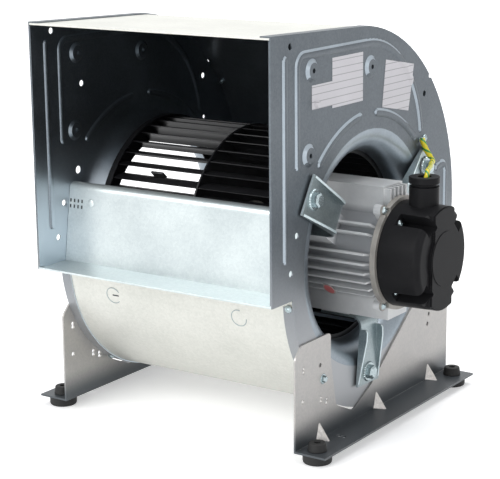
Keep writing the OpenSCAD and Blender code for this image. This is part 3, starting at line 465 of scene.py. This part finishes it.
def zinc_sheet(name, dark, light, metallic, rough, crystals, contrast):
    """Galvanised or plated sheet."""
    relief, speck_share, line_share = 0.00001, 0.30, 0.14
    made, tree, shader = start_material(name, {"Metallic": metallic})
    spangle = use_group(tree, "Zinc spangle", Crystals=crystals)
    lines = use_group(tree, "Rolling lines")["Line"]
    shade = math_node(tree, "MULTIPLY_ADD", spangle["Shade"], contrast,
                      math_node(tree, "MULTIPLY", spangle["Cloud"], 1 - contrast))
    for texture, share in ((spangle["Speck"], speck_share), (lines, line_share)):
        shade = math_node(tree, "MULTIPLY_ADD", texture, share,
                          math_node(tree, "SUBTRACT", shade, share / 2))
    coloured(tree, shader, between(tree, shade, dark, light), name)
    tree.links.new(varied(tree, spangle["Cloud"], rough - 0.05, rough + 0.05), shader.inputs["Roughness"])
    bumped(tree, shader, spangle["Relief"], relief, 0.5)
    return made


def grained(name, dark, light, metallic, rough, grain, patch, relief=0.00003, coat=0.0, specular=0.5):
    """Paint, castings, mouldings and rubber."""
    made, tree, shader = start_material(name, {
        "Metallic": metallic, "Coat Weight": coat, "Specular IOR Level": specular})
    texture = use_group(tree, "Fine grain", Grain=grain, Patch=patch)
    coloured(tree, shader, between(tree, texture["Patch"], dark, light), name)
    tree.links.new(varied(tree, texture["Patch"], rough - 0.05, rough + 0.06), shader.inputs["Roughness"])
    bumped(tree, shader, texture["Grain"], relief)
    return made


def blank_label(name):
    """Blank label stock with plain ruled lines."""
    pitch, thickness, strength = 0.0072, 0.11, 0.8
    made, tree, shader = start_material(name, {"Roughness": 0.42})
    texture = use_group(tree, "Fine grain", Grain=1500.0)
    phase = math_node(tree, "FRACT", math_node(tree, "MULTIPLY", height(tree), 1 / pitch))
    line = math_node(tree, "LESS_THAN", phase, thickness)
    paper = between(tree, texture["Patch"], tint("label", 0.94), tint("label"))
    coloured(tree, shader, mixed(tree, math_node(tree, "MULTIPLY", line, strength), paper, tint("rule")))
    bumped(tree, shader, texture["Grain"], 0.00001)
    return made


def lead_sleeve(name):
    """Yellow sleeve with two green stripes that wind slowly round it."""
    stripes, winding, width = 2.0, 1.6, 0.34
    made, tree, shader = start_material(name, {"Roughness": 0.36})
    texture = use_group(tree, "Fine grain", Grain=1200.0)
    own_map = tree.nodes.new("ShaderNodeTexCoord").outputs["UV"]
    along = node(tree, "ShaderNodeSeparateXYZ", {0: own_map}).outputs
    wound = math_node(tree, "MULTIPLY_ADD", along["X"], stripes,
                      math_node(tree, "MULTIPLY", along["Y"], winding))
    stripe = math_node(tree, "LESS_THAN", math_node(tree, "FRACT", wound), width)
    coloured(tree, shader, mixed(tree, stripe, tint("lead"), tint("lead_stripe")))
    bumped(tree, shader, texture["Grain"], 0.00002)
    return made


OTHER_FINISHES = {"Blank label": blank_label, "Earth lead sleeve": lead_sleeve}


def finish_named(name):
    """The finish with this name, made the first time it is asked for."""
    ready = bpy.data.materials.get(name)
    if ready:
        return ready
    if name in OTHER_FINISHES:
        return OTHER_FINISHES[name](name)
    make, table = (zinc_sheet, SHEET_FINISHES) if name in SHEET_FINISHES else (grained, GRAINED_FINISHES)
    dark, dark_factor, light, light_factor, *numbers = table[name]
    return make(name, tint(dark, dark_factor), tint(light, light_factor), *numbers)


# ---- piece making ----

def welded_copy(node_name):
    """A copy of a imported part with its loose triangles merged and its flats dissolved."""
    weld, flat = 0.004 * MM, math.radians(0.4)
    bm = bmesh.new()
    bm.from_mesh(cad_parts[node_name].data)
    bmesh.ops.remove_doubles(bm, verts=bm.verts, dist=weld)
    bmesh.ops.dissolve_limit(bm, angle_limit=flat, verts=bm.verts, edges=bm.edges)
    return bm


def add_piece(name, bm, finishes, stands_for=(), edge=0.0, crease=32, segments=2, body="housing"):
    """Makes the object of a finished piece, with rounded edges and even shading.

    edge is the rounding in metres, and crease the angle in degrees past which an edge stays sharp.
    """
    limit = math.radians(crease)
    for face in bm.faces:
        face.smooth = True
    for line in bm.edges:
        line.smooth = len(line.link_faces) == 2 and line.calc_face_angle(0.0) < limit
    mesh = bpy.data.meshes.new(name)
    bm.to_mesh(mesh)
    bm.free()
    piece = add_object(name, mesh)
    for finish in finishes:
        mesh.materials.append(finish_named(finish))
    if edge:
        set_up(piece.modifiers.new("Edges", "BEVEL"), width=edge, segments=segments, limit_method="ANGLE",
               angle_limit=limit, use_clamp_overlap=True)
    set_up(piece.modifiers.new("Shading", "WEIGHTED_NORMAL"), keep_sharp=True)
    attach(piece, body)
    if stands_for:
        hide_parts(*stands_for)
    return piece


def dress(names, finish, edge, crease=32, segments=2, paint=None, body="housing"):
    """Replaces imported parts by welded, rounded copies. paint gives each face its finish's number."""
    finishes = [finish] if isinstance(finish, str) else finish
    for name in names.split():
        bm = welded_copy(name)
        if paint:
            for face in bm.faces:
                face.material_index = paint(face)
        add_piece(name + "_finish", bm, finishes, [name], edge, crease, segments, body)


def add_column(bm, matrix, sides, bottom, top, depth):
    """A round or many-sided column that stands on local zero."""
    centre = matrix @ Matrix.Translation((0, 0, depth / 2))
    return bmesh.ops.create_cone(bm, cap_ends=True, segments=sides, radius1=bottom, radius2=top,
                                 depth=depth, matrix=centre)["verts"]


def add_ring(bm, matrix, outer, depth, teeth=0, taper=1.0):
    """A flat round, with teeth cut into its edge if asked."""
    plain_steps, tooth_root = 48, 0.95
    steps = teeth * 2 if teeth else plain_steps
    verts = add_column(bm, matrix, steps, outer, outer * taper, depth)
    if teeth:
        inverse = matrix.inverted()
        for vert in verts:
            local = inverse @ vert.co
            step = round(math.atan2(local.y, local.x) / (2 * math.pi) * steps)
            if step % 2:
                local.x, local.y = local.x * tooth_root, local.y * tooth_root
                vert.co = matrix @ local


def add_hex(bm, matrix, flats, depth):
    """A hex head with its top corners chamfered."""
    chamfer, radius = flats * 0.12, flats / 2 / math.cos(math.radians(30))
    verts = add_column(bm, matrix, 6, radius, radius, depth)
    inverse = matrix.inverted()
    top = [edge for edge in {e for v in verts for e in v.link_edges}
           if all((inverse @ v.co).z > depth * 0.9 for v in edge.verts)]
    bmesh.ops.bevel(bm, geom=top, offset=chamfer, segments=1, profile=0.5, affect="EDGES", material=-1)


def add_bolt(bm, matrix, shank, flats):
    """A hex bolt with a toothed flange and its shank below."""
    flange, flange_depth, seat, head_depth = flats * 0.86, flats * 0.13, flats * 0.11, flats * 0.48
    teeth = sizes().flange_teeth
    add_ring(bm, matrix, flange, flange_depth, teeth, taper=0.93)
    add_hex(bm, matrix @ Matrix.Translation((0, 0, seat)), flats, head_depth)
    add_column(bm, matrix @ Matrix.Translation((0, 0, -shank)), 24, SHANK_RADIUS, SHANK_RADIUS, shank)


def sweep(points, radius, sides=12):
    """A round tube through points, with a UV map that runs round and along it."""
    bm = bmesh.new()
    uv = bm.loops.layers.uv.new("UVMap")
    last = len(points) - 1
    ahead = [(points[min(i + 1, last)] - points[max(i - 1, 0)]).normalized() for i in range(last + 1)]
    side = ahead[0].orthogonal().normalized()
    frames = []
    for point, forward in zip(points, ahead):
        side = (side - forward * side.dot(forward)).normalized()
        turn = Matrix((side, forward.cross(side), forward)).transposed()
        frames.append(Matrix.Translation(point) @ turn.to_4x4())
    bmesh.ops.create_circle(bm, cap_ends=True, segments=sides, radius=radius, matrix=frames[0])
    ring = list(bm.edges)
    run = 0.0
    for i in range(1, len(points)):
        grown = bmesh.ops.extrude_edge_only(bm, edges=ring)["geom"]
        verts = [g for g in grown if isinstance(g, bmesh.types.BMVert)]
        faces = [g for g in grown if isinstance(g, bmesh.types.BMFace)]
        bmesh.ops.transform(bm, matrix=frames[i] @ frames[i - 1].inverted(), verts=verts)
        step = (points[i] - points[i - 1]).length / (radius * 2 * math.pi)
        inverse = frames[i].inverted()
        for face in faces:
            turns = []
            for loop in face.loops:
                local = inverse @ loop.vert.co
                turns.append(math.atan2(local.y, local.x) / (2 * math.pi) % 1.0)
            for loop, turn in zip(face.loops, turns):
                # A face that closes the round takes its last corners from the map's far side
                wrapped = turn + (1.0 if turn < 0.3 and max(turns) > 0.7 else 0.0)
                loop[uv].uv = (wrapped, run + (step if loop.vert in verts else 0.0))
        run += step
        ring = [g for g in grown
                if isinstance(g, bmesh.types.BMEdge) and all(v in verts for v in g.verts)]
    bmesh.ops.holes_fill(bm, edges=ring, sides=sides)
    bmesh.ops.recalc_face_normals(bm, faces=bm.faces)
    return bm


def smooth_route(points, steps=6):
    """Points of a smooth curve through a route."""
    out = []
    for i in range(len(points) - 1):
        a, b, c, d = points[max(i - 1, 0)], points[i], points[i + 1], points[min(i + 2, len(points) - 1)]
        for k in range(steps):
            t = k / steps
            out.append(0.5 * (2 * b + (c - a) * t + (2 * a - 5 * b + 4 * c - d) * t * t
                              + (3 * b - a - 3 * c + d) * t ** 3))
    return out + [points[-1]]


def bolt_places(name):
    """Seat, direction and shank length of each bolt in a packed group, found from its separate solids."""
    found = []
    for low, high in solids(name):
        out = 1 if low.x + high.x > 0 else -1
        seat = (low + high) / 2
        seat.x = (high.x - BOLT_HEAD) if out > 0 else (low.x + BOLT_HEAD)
        found.append((seat, Vector((out, 0, 0)), high.x - low.x - BOLT_HEAD))
    return found


def solids(name):
    """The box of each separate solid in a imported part."""
    bm = welded_copy(name)
    left = set(bm.verts)
    boxes = []
    while left:
        group, todo = set(), [left.pop()]
        while todo:
            vert = todo.pop()
            group.add(vert)
            for line in vert.link_edges:
                other = line.other_vert(vert)
                if other in left:
                    left.discard(other)
                    todo.append(other)
        spread = [[v.co[k] for v in group] for k in range(3)]
        boxes.append((Vector([min(s) for s in spread]), Vector([max(s) for s in spread])))
    bm.free()
    return sorted(boxes, key=lambda box: tuple(box[0]))


def solid_tree(node_name):
    """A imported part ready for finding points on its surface."""
    bm = welded_copy(node_name)
    tree = BVHTree.FromBMesh(bm)
    bm.free()
    return tree


def front_of(tree, x, z):
    """The first point and normal that a part shows to the front at a place."""
    place, out, _, _ = tree.ray_cast(Vector((x, OUTLET_Y - 0.1, z)), Vector((0, 1, 0)))
    return place, out if out.y < 0 else -out


def add_arc(bm, matrix, radius, thickness, start, sweep_angle):
    """A raised line that runs part of the way round a circle."""
    turn = Matrix.Rotation(math.radians(start), 4, "Z")
    across = Matrix.Translation((radius, 0, 0)) @ Matrix.Rotation(math.radians(90), 4, "X")
    made = bmesh.ops.create_circle(bm, segments=8, radius=thickness, matrix=matrix @ turn @ across)
    edges = list({edge for vert in made["verts"] for edge in vert.link_edges})
    centre = matrix.translation
    bmesh.ops.spin(bm, geom=made["verts"] + edges, cent=centre, axis=matrix.to_3x3() @ Vector((0, 0, 1)),
                   angle=math.radians(sweep_angle), steps=40)
    bmesh.ops.holes_fill(bm, edges=[edge for edge in bm.edges if edge.is_boundary], sides=8)
    bmesh.ops.recalc_face_normals(bm, faces=bm.faces)


def add_block(bm, place, out, shape):
    """A small block on a face, with its middle on the surface."""
    matrix = facing(place, out) @ Matrix.Diagonal(shape + (1,))
    bmesh.ops.create_cube(bm, size=1, matrix=matrix)


def add_dome(bm, matrix, radius, rise):
    """A shallow dome on a face."""
    shape = matrix @ Matrix.Diagonal((radius, radius, rise, 1))
    bmesh.ops.create_uvsphere(bm, u_segments=32, v_segments=16, radius=1, matrix=shape)


# ---- the stage ----

CAMERA_PLACE = (0.9757, -1.4494, 0.5933)
CAMERA_YAW, CAMERA_PITCH, CAMERA_ROLL = 34.281, 13.320, -0.546  # in degrees
CAMERA_LENS, SENSOR_WIDTH = 116.4, 36  # in millimetres
LIGHT_AIM = Vector((0, 0, 0.22))
LIGHTS = {  # place, width and power
    "key": ((-1.3, -2.6, 1.9), 1.9, 58),
    "roof": ((0.1, 0.4, 2.6), 2.2, 48),
    "side": ((2.8, -0.5, 1.1), 1.4, 9),
    "low": ((0.3, -2.4, 0.25), 1.5, 14),
}


class StageOperator(Operator):
    """Make the camera, the soft lights, the white world and the pale floor"""
    bl_idname = "blower.stage"
    bl_label = "Stage"

    def execute(self, context):
        self.make_camera(context.scene)
        self.make_lights()
        self.make_world(context.scene)
        self.make_floor()
        context.scene.view_settings.view_transform = "Standard"
        return {"FINISHED"}

    @staticmethod
    def make_camera(scene):
        yaw, pitch, roll = (math.radians(turn) for turn in (CAMERA_YAW, CAMERA_PITCH, CAMERA_ROLL))
        level = Vector((math.cos(yaw), math.sin(yaw), 0))
        forward = Vector((-level.y, level.x, 0)) * math.cos(pitch) - Vector((0, 0, math.sin(pitch)))
        rise = level.cross(forward)
        right = math.cos(roll) * level + math.sin(roll) * rise
        up = math.cos(roll) * rise - math.sin(roll) * level
        turn = Matrix((right, up, -forward)).transposed()
        scene.camera = add_object("camera", set_up(
            bpy.data.cameras.new("camera"), lens=CAMERA_LENS, sensor_width=SENSOR_WIDTH, clip_end=60))
        scene.camera.matrix_world = Matrix.Translation(CAMERA_PLACE) @ turn.to_4x4()

    @staticmethod
    def make_lights():
        for name, (place, width, power) in LIGHTS.items():
            lamp = set_up(bpy.data.lights.new(name, "AREA"), shape="SQUARE", size=width, energy=power)
            add_object(name, lamp).matrix_world = facing(Vector(place), Vector(place) - LIGHT_AIM)

    @staticmethod
    def make_world(scene):
        """Even light from all round, with a white room for the camera and for reflections."""
        world = bpy.data.worlds.new("white room")
        world.use_nodes = True
        tree = world.node_tree
        tree.nodes.clear()
        seen = seen_by(tree, "Is Camera Ray", "Is Transmission Ray", "Is Glossy Ray")
        fill = node(tree, "ShaderNodeBackground", {"Color": (0.92, 0.95, 1.0, 1), "Strength": 0.38})
        white = node(tree, "ShaderNodeBackground", {"Color": (1, 1, 1, 1), "Strength": 1.0})
        mix = node(tree, "ShaderNodeMixShader", {0: seen, 1: fill.outputs[0], 2: white.outputs[0]})
        out = tree.nodes.new("ShaderNodeOutputWorld")
        tree.links.new(mix.outputs[0], out.inputs[0])
        scene.world = world

    @staticmethod
    def make_floor():
        """A pale floor just under the feet, which turns white toward its far edge."""
        near, far, near_glow, below = 0.5, 2.5, 0.42, Matrix.Translation((0, 0, -0.0002))
        bm = bmesh.new()
        bmesh.ops.create_grid(bm, x_segments=4, y_segments=4, size=9, matrix=below)
        mesh = bpy.data.meshes.new("floor")
        bm.to_mesh(mesh)
        bm.free()
        floor = add_object("floor", mesh)
        made, tree, shader = start_material("Pale floor", {"Roughness": 0.8, "Specular IOR Level": 0.1})
        cloud = use_group(tree, "Fine grain", Grain=60.0, Patch=2.0)["Patch"]
        coloured(tree, shader, between(tree, cloud, (0.86, 0.86, 0.86, 1), (0.9, 0.9, 0.9, 1)))
        seen = seen_by(tree, "Is Camera Ray", "Is Glossy Ray")
        glow = ranged(tree, length_of(tree, object_point(tree)), near, far, near_glow, 1.0)
        lift = node(tree, "ShaderNodeEmission", {"Color": (1, 1, 1, 1)})
        tree.links.new(math_node(tree, "MULTIPLY", seen, glow), lift.inputs["Strength"])
        both = node(tree, "ShaderNodeAddShader", {0: shader.outputs[0], 1: lift.outputs[0]})
        tree.links.new(both.outputs[0], tree.nodes["Material Output"].inputs[0])
        mesh.materials.append(made)


# ---- the pieces ----

class SidePlatesOperator(Operator):
    """Make both side plates with their bells, beads and rolled rims"""
    bl_idname = "blower.side_plates"
    bl_label = "Side plates"

    def execute(self, context):
        edge = sizes().sheet_edge
        for name, way in (("side_plate_right", 1), ("side_plate_left", -1)):
            def paint(face, way=way):
                # Painted light and shade: bell faces take a lighter copy of the plate as painted sheen, bead
                # flanks that face the light a lighter one still as painted highlight, and inner faces the
                # darker inside finish
                plain, bell, inside, pressed = range(4)
                centre = face.calc_center_median()
                outward = face.normal.x * way
                if max(from_shaft(v.co) for v in face.verts) < BELL_REACH:
                    return bell if to_shaft(centre).dot(face.normal) > 0 or outward > 0.2 else inside
                if centre.x * way > PLATE_X + 0.2 * MM and self.catches_light(face):
                    return pressed
                return inside if outward < -0.3 else plain
            dress(name, ["Galvanised plate", "Drawn bell", "Casing inside", "Pressed edge"],
                  edge, paint=paint)
            self.press_inside(name, way)
        return {"FINISHED"}

    @staticmethod
    def catches_light(face):
        """True on the flanks of beads and dimples that face the front and upwards, which get a painted
        highlight.
        """
        front_and_up = Vector((0, -0.75, 0.66))
        return 0.1 < abs(face.normal.x) < 0.95 and face.normal.dot(front_and_up) > 0.06

    @classmethod
    def press_inside(cls, name, way):
        """The inner side of a plate's beads and dimples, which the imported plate's flat inner face lacks."""
        bm = welded_copy(name)
        over_plate = Vector((way * (PLATE_X + 0.3 * MM), 0, 0))
        bmesh.ops.bisect_plane(bm, geom=bm.verts[:] + bm.edges[:] + bm.faces[:], clear_inner=True,
                               plane_co=over_plate, plane_no=Vector((way, 0, 0)))
        bell = [v for v in bm.verts if from_shaft(v.co) < BELL_REACH]
        bmesh.ops.delete(bm, geom=bell, context="VERTS")
        open_edges = [edge for edge in bm.edges if edge.is_boundary]
        bmesh.ops.triangle_fill(bm, use_beauty=True, use_dissolve=True, edges=open_edges)
        mirror = Matrix.Translation((way * (PLATE_X + INNER_X), 0, 0)) @ Matrix.Diagonal((-1, 1, 1, 1))
        bmesh.ops.transform(bm, matrix=mirror, verts=bm.verts)
        bmesh.ops.recalc_face_normals(bm, faces=bm.faces)
        bm.normal_update()
        for face in bm.faces:
            # Painted highlight: flanks that face the front and upwards take the lighter bell finish, and the
            # rest take the inside finish
            face.material_index = int(cls.catches_light(face))
        add_piece(name + "_inner_beads", bm, ["Casing inside", "Drawn bell"])


class ScrollOperator(Operator):
    """Make the scroll wrap and the cut-off panel with its rolled lip"""
    bl_idname = "blower.scroll"
    bl_label = "Scroll wrap and cut-off panel"

    def execute(self, context):
        edge = sizes().sheet_edge

        # Painted shade: the wrap's inner faces take the darker inside finish
        def wrap_paint(face):
            towards = to_shaft(face.calc_center_median())
            return int(face.normal.dot(towards) > 0.02 * towards.length)

        # Painted shade: the back faces of the cut-off panel take the darker inside finish
        def panel_paint(face):
            return int(face.normal.y > 0.35)

        dress("scroll_wrap", ["Bright wrap", "Casing inside"], edge, paint=wrap_paint)
        dress("cutoff_panel", ["Bright panel", "Casing inside"], edge, paint=panel_paint)
        return {"FINISHED"}


class LegsOperator(Operator):
    """Make the two pressed legs"""
    bl_idname = "blower.legs"
    bl_label = "Legs"

    def execute(self, context):
        gusset_top = 0.08

        # Painted highlight: slanting gusset faces low on the legs take the lighter gusset finish
        def paint(face):
            slanting = abs(face.normal.x * face.normal.z) > 0.12
            return int(slanting and face.calc_center_median().z < gusset_top)

        dress("leg_right leg_left", ["Leg sheet", "Leg gusset"], sizes().fold_edge,
              segments=3, paint=paint)
        return {"FINISHED"}


class FeetOperator(Operator):
    """Make the rubber feet"""
    bl_idname = "blower.feet"
    bl_label = "Rubber feet"

    def execute(self, context):
        dress("rubber_feet", "Black rubber", sizes().moulded_edge, segments=3)
        return {"FINISHED"}


class BoltsOperator(Operator):
    """Make the flanged hex bolts of the legs and the motor arms"""
    bl_idname = "blower.bolts"
    bl_label = "Hex bolts"

    def execute(self, context):
        turned_up = Vector((0, 0.3, 1))
        for name, flats in (("leg_bolts", sizes().leg_screw_flats), ("arm_bolts", sizes().bolt_flats)):
            bm = bmesh.new()
            for place, out, shank in bolt_places(name):
                add_bolt(bm, facing(place, out, turned_up), shank, flats)
            add_piece(name + "_finish", bm, ["Zinc plating"], [name], 0.18 * MM, 20)
        return {"FINISHED"}


class SmallFastenersOperator(Operator):
    """Make the nuts, the small screws and the toothed washer"""
    bl_idname = "blower.small_fasteners"
    bl_label = "Small fasteners"

    def execute(self, context):
        dress("leg_nuts arm_nuts wrap_screws shield_screws cap_screws arm_foot_screws ring_terminal "
              "earth_screw", "Zinc plating", 0.15 * MM, 25)
        dress("toothed_washer", "Plain steel", 0.12 * MM, 25)
        return {"FINISHED"}


class ImpellerOperator(Operator):
    """Make the blades, end rings and centre disc"""
    bl_idname = "blower.impeller"
    bl_label = "Impeller"

    def execute(self, context):
        dress("blades_left blades_right", "Impeller paint", 0.12 * MM, 40, 1,
              body="impeller")
        dress("end_ring_left end_ring_right impeller_disc", "Impeller paint", 0.3 * MM,
              body="impeller")
        dress("balance_clip", "Plain steel", 0.15 * MM, body="impeller")
        return {"FINISHED"}


class HubOperator(Operator):
    """Make the hub, its rivets, the set screw and the shaft"""
    bl_idname = "blower.hub"
    bl_label = "Hub and shaft"

    def execute(self, context):
        dress("hub", "Shield casting", 0.5 * MM, body="impeller")
        dress("hub_rivets", "Zinc plating", 0.2 * MM, body="impeller")
        for name, edge in (("set_screw", 0.1), ("motor_shaft", 0.6), ("rotor_core", 0.3)):
            dress(name, "Plain steel", edge * MM, body="impeller")
        return {"FINISHED"}


class MotorOperator(Operator):
    """Make the finned housing, the end shields and what is inside them"""
    bl_idname = "blower.motor"
    bl_label = "Motor"

    def execute(self, context):
        edge = sizes().cast_edge
        dress("motor_housing", "Motor casting", edge)
        dress("drive_end_shield outer_end_shield", "Shield casting", edge * 1.4)
        dress("stator_core bearing_inner bearing_outer", "Plain steel", 0.3 * MM)
        dress("stator_windings", "Copper windings", 1.5 * MM, segments=3)
        return {"FINISHED"}


class CapOperator(Operator):
    """Make the moulded terminal cap, its gland and the terminal block"""
    bl_idname = "blower.cap"
    bl_label = "Terminal cap"

    def execute(self, context):
        dress("terminal_cap gland_nut", "Moulded cap", sizes().moulded_edge, 34, 3)
        dress("gland_seal", "Black rubber", 0.4 * MM)
        dress("terminal_block", "Block plastic", 0.5 * MM)
        return {"FINISHED"}


class ArmsOperator(Operator):
    """Make the pressed motor arms with their bare cut edges, and their rubber bushes"""
    bl_idname = "blower.arms"
    bl_label = "Motor arms"

    def execute(self, context):
        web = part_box("arm_bushes")[1].x + 3.5 * MM
        end_depth, rim_area = 8 * MM, 0.0003
        for name in ("arm_front", "arm_rear", "arm_bottom"):
            end = max(from_shaft(v.co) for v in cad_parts[name].data.vertices)

            def paint(face, end=end):
                centre = face.calc_center_median()
                away = -to_shaft(centre)
                rim = face.normal.x > 0.5 and centre.x > web and face.calc_area() < rim_area
                outer = away.length > end - end_depth and away.normalized().dot(face.normal) > 0.9
                return int(rim or outer)
            dress(name, ["Arm plating", "Bare edge"], sizes().fold_edge, segments=3, paint=paint)
        dress("arm_bushes", "Black rubber", 0.3 * MM)
        return {"FINISHED"}


class LeadOperator(Operator):
    """Make the striped earth lead from the gland to its ring terminal"""
    bl_idname = "blower.lead"
    bl_label = "Earth lead"

    def execute(self, context):
        gland = middle("gland_seal")
        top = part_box("gland_nut")[1].z
        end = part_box("ring_terminal")[1].y - 4.5 * MM
        ring_z = middle("ring_terminal").z
        leaving = [(0, 0, -14), (0, 0, -7), (0.4, 1.6, -3.5), (0.6, 4, 0), (-3, 12, 3), (-11, 30, 1.5),
                   (-24, 57, -2.5), (-36, 82, -6), (-44, 97, -7)]
        arriving = [(17, -10, -22), (11.5, -9, -16), (8, -10, -10), (6, -11, -4.5), (3.2, -9, -1),
                    (2.9, -5.5, 0)]
        route = [Vector((gland.x + x * MM, gland.y + y * MM, top + z * MM)) for x, y, z in leaving]
        route += [Vector((PLATE_X + x * MM, end + y * MM, ring_z + z * MM)) for x, y, z in arriving]
        path, radius = smooth_route(route), sizes().sleeve_radius
        finish = ["Earth lead sleeve"]
        add_piece("earth_lead_finish", sweep(path, sizes().lead_radius), finish,
                  ["earth_lead"], crease=60)
        for name, part, share in (("lead_end_sleeve", path[-27:-5], 1), ("lead_sleeve", path[9:-25], 0.84)):
            add_piece(name, sweep(part, radius * share, 16), finish, edge=0.5 * MM, crease=60)
        return {"FINISHED"}


# Corners of the labels on the plate, in millimetres
LABELS = {
    "rating_label": [(110, 181), (170, 181), (170, 231), (110, 231)],
    "side_label": [(72, 184), (110, 184), (110, 208), (72, 208)],
    "tilted_label": [(210, 169), (267, 158), (278, 207), (217, 218)],
}


class LabelsOperator(Operator):
    """Make the blank labels on the side plate and the round sticker on the motor"""
    bl_idname = "blower.labels"
    bl_label = "Blank labels"

    def execute(self, context):
        lift = sizes().label_lift
        plate = bpy.data.objects["side_plate_right_finish"]
        off_plate = Vector((4 * MM, 0, 0))
        for name, corners in LABELS.items():
            bm = bmesh.new()
            verts = [bm.verts.new(on_plate(back, up) + off_plate) for back, up in corners]
            bm.faces.new(verts)
            bmesh.ops.subdivide_edges(bm, edges=bm.edges, cuts=70, use_grid_fill=True)
            bmesh.ops.recalc_face_normals(bm, faces=bm.faces)
            piece = add_piece(name, bm, ["Blank label"])
            set_up(piece.modifiers.new("Lie on sheet", "SHRINKWRAP"), target=plate, wrap_method="PROJECT",
                   use_project_x=True, use_negative_direction=True, use_positive_direction=False,
                   offset=lift)
        self.make_dot(lift)
        return {"FINISHED"}

    @staticmethod
    def make_dot(lift):
        """The plain round sticker, which spans the tips of two fins near the foot of the motor."""
        seat = about_shaft(STICKER_X, STICKER_RADIUS, STICKER_TURN)
        out = about_shaft(0, 1, STICKER_TURN) - AXIS
        stretch = Matrix.Diagonal((1, 1.5, 1, 1))
        bm = bmesh.new()
        add_ring(bm, facing(seat, out) @ stretch, sizes().dot_radius, lift * 2)
        add_piece("round_sticker_rim", bm, ["Dot rim"])
        bm = bmesh.new()
        add_ring(bm, facing(seat + out * lift * 1.5, out) @ stretch, sizes().dot_radius * 0.8, lift)
        add_piece("round_sticker", bm, ["Dot sticker"])


class PressedMarksOperator(Operator):
    """Make the knock-outs of the wrap, the slots of the panel and wrap as dark blocks of painted shadow, the
    panel's dimple and the gate mark of the cap
    """
    bl_idname = "blower.pressed_marks"
    bl_label = "Pressed marks"

    def execute(self, context):
        wrap, panel = solid_tree("scroll_wrap"), solid_tree("cutoff_panel")
        radius = sizes().knockout_radius
        bm = bmesh.new()
        for x, start in ((-0.0815, 30), (0.0805, 75)):
            place, out = front_of(wrap, x, KNOCKOUT_Z)
            add_arc(bm, facing(place, out), radius, 0.45 * MM, start, 285)
        add_piece("knock_outs", bm, ["Arm plating"], crease=60)
        bm = bmesh.new()
        # Painted shadow: dark blocks on the panel, and one on the wrap below, stand in for the shade inside
        # punched slots
        for row in range(2):
            for column in range(4):
                place, out = front_of(panel, -0.1448 + 0.0052 * column, 0.2350 - 0.0062 * row)
                add_block(bm, place, out, (0.0017, 0.0036, 0.0005))
        add_block(bm, *front_of(wrap, -0.0785, KNOCKOUT_Z + 0.5 * MM), (0.008, 0.0014, 0.0006))
        add_piece("panel_slots", bm, ["Dark slot"])
        bm = bmesh.new()
        place, out = front_of(panel, -0.1172, 0.2341)
        add_dome(bm, facing(place, out), 0.0045, 0.0012)
        add_piece("panel_dimple", bm, ["Bright panel"], crease=60)
        bm = bmesh.new()
        rise = 0.3 * MM
        top = Vector((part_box("terminal_cap")[1].x - rise, AXIS.y, AXIS.z - 0.6 * MM))
        add_dome(bm, facing(top, Vector((1, 0, 0))), 1.6 * MM, rise)
        add_piece("gate_mark", bm, ["Moulded cap"], crease=60)
        return {"FINISHED"}


class BlowerPanel(Panel):
    """Lists the blower's pieces"""
    bl_idname = "VIEW3D_PT_blower"
    bl_label = "Blower"
    bl_space_type = "VIEW_3D"
    bl_region_type = "UI"
    bl_category = "Blower"

    def draw(self, context):
        for operator in OPERATORS:
            self.layout.operator(operator.bl_idname)
        for group in (context.scene.blower_sizes, context.scene.blower_colours):
            for key in group.__annotations__:
                self.layout.prop(group, key)


OPERATORS = (
    StageOperator, SidePlatesOperator, ScrollOperator, LegsOperator, FeetOperator, BoltsOperator,
    SmallFastenersOperator, ImpellerOperator, HubOperator, MotorOperator, CapOperator, ArmsOperator,
    LeadOperator, LabelsOperator, PressedMarksOperator)
CLASSES = (BlowerSizes, BlowerColours) + OPERATORS + (BlowerPanel,)


def register():
    for made in CLASSES:
        bpy.utils.register_class(made)
    bpy.types.Scene.blower_sizes = PointerProperty(type=BlowerSizes)
    bpy.types.Scene.blower_colours = PointerProperty(type=BlowerColours)


def unregister():
    del bpy.types.Scene.blower_sizes
    del bpy.types.Scene.blower_colours
    for made in reversed(CLASSES):
        bpy.utils.unregister_class(made)


def main():
    register()
    for operator in OPERATORS:
        group, name = operator.bl_idname.split(".")
        getattr(getattr(bpy.ops, group), name)()


if __name__ == "__main__":
    main()
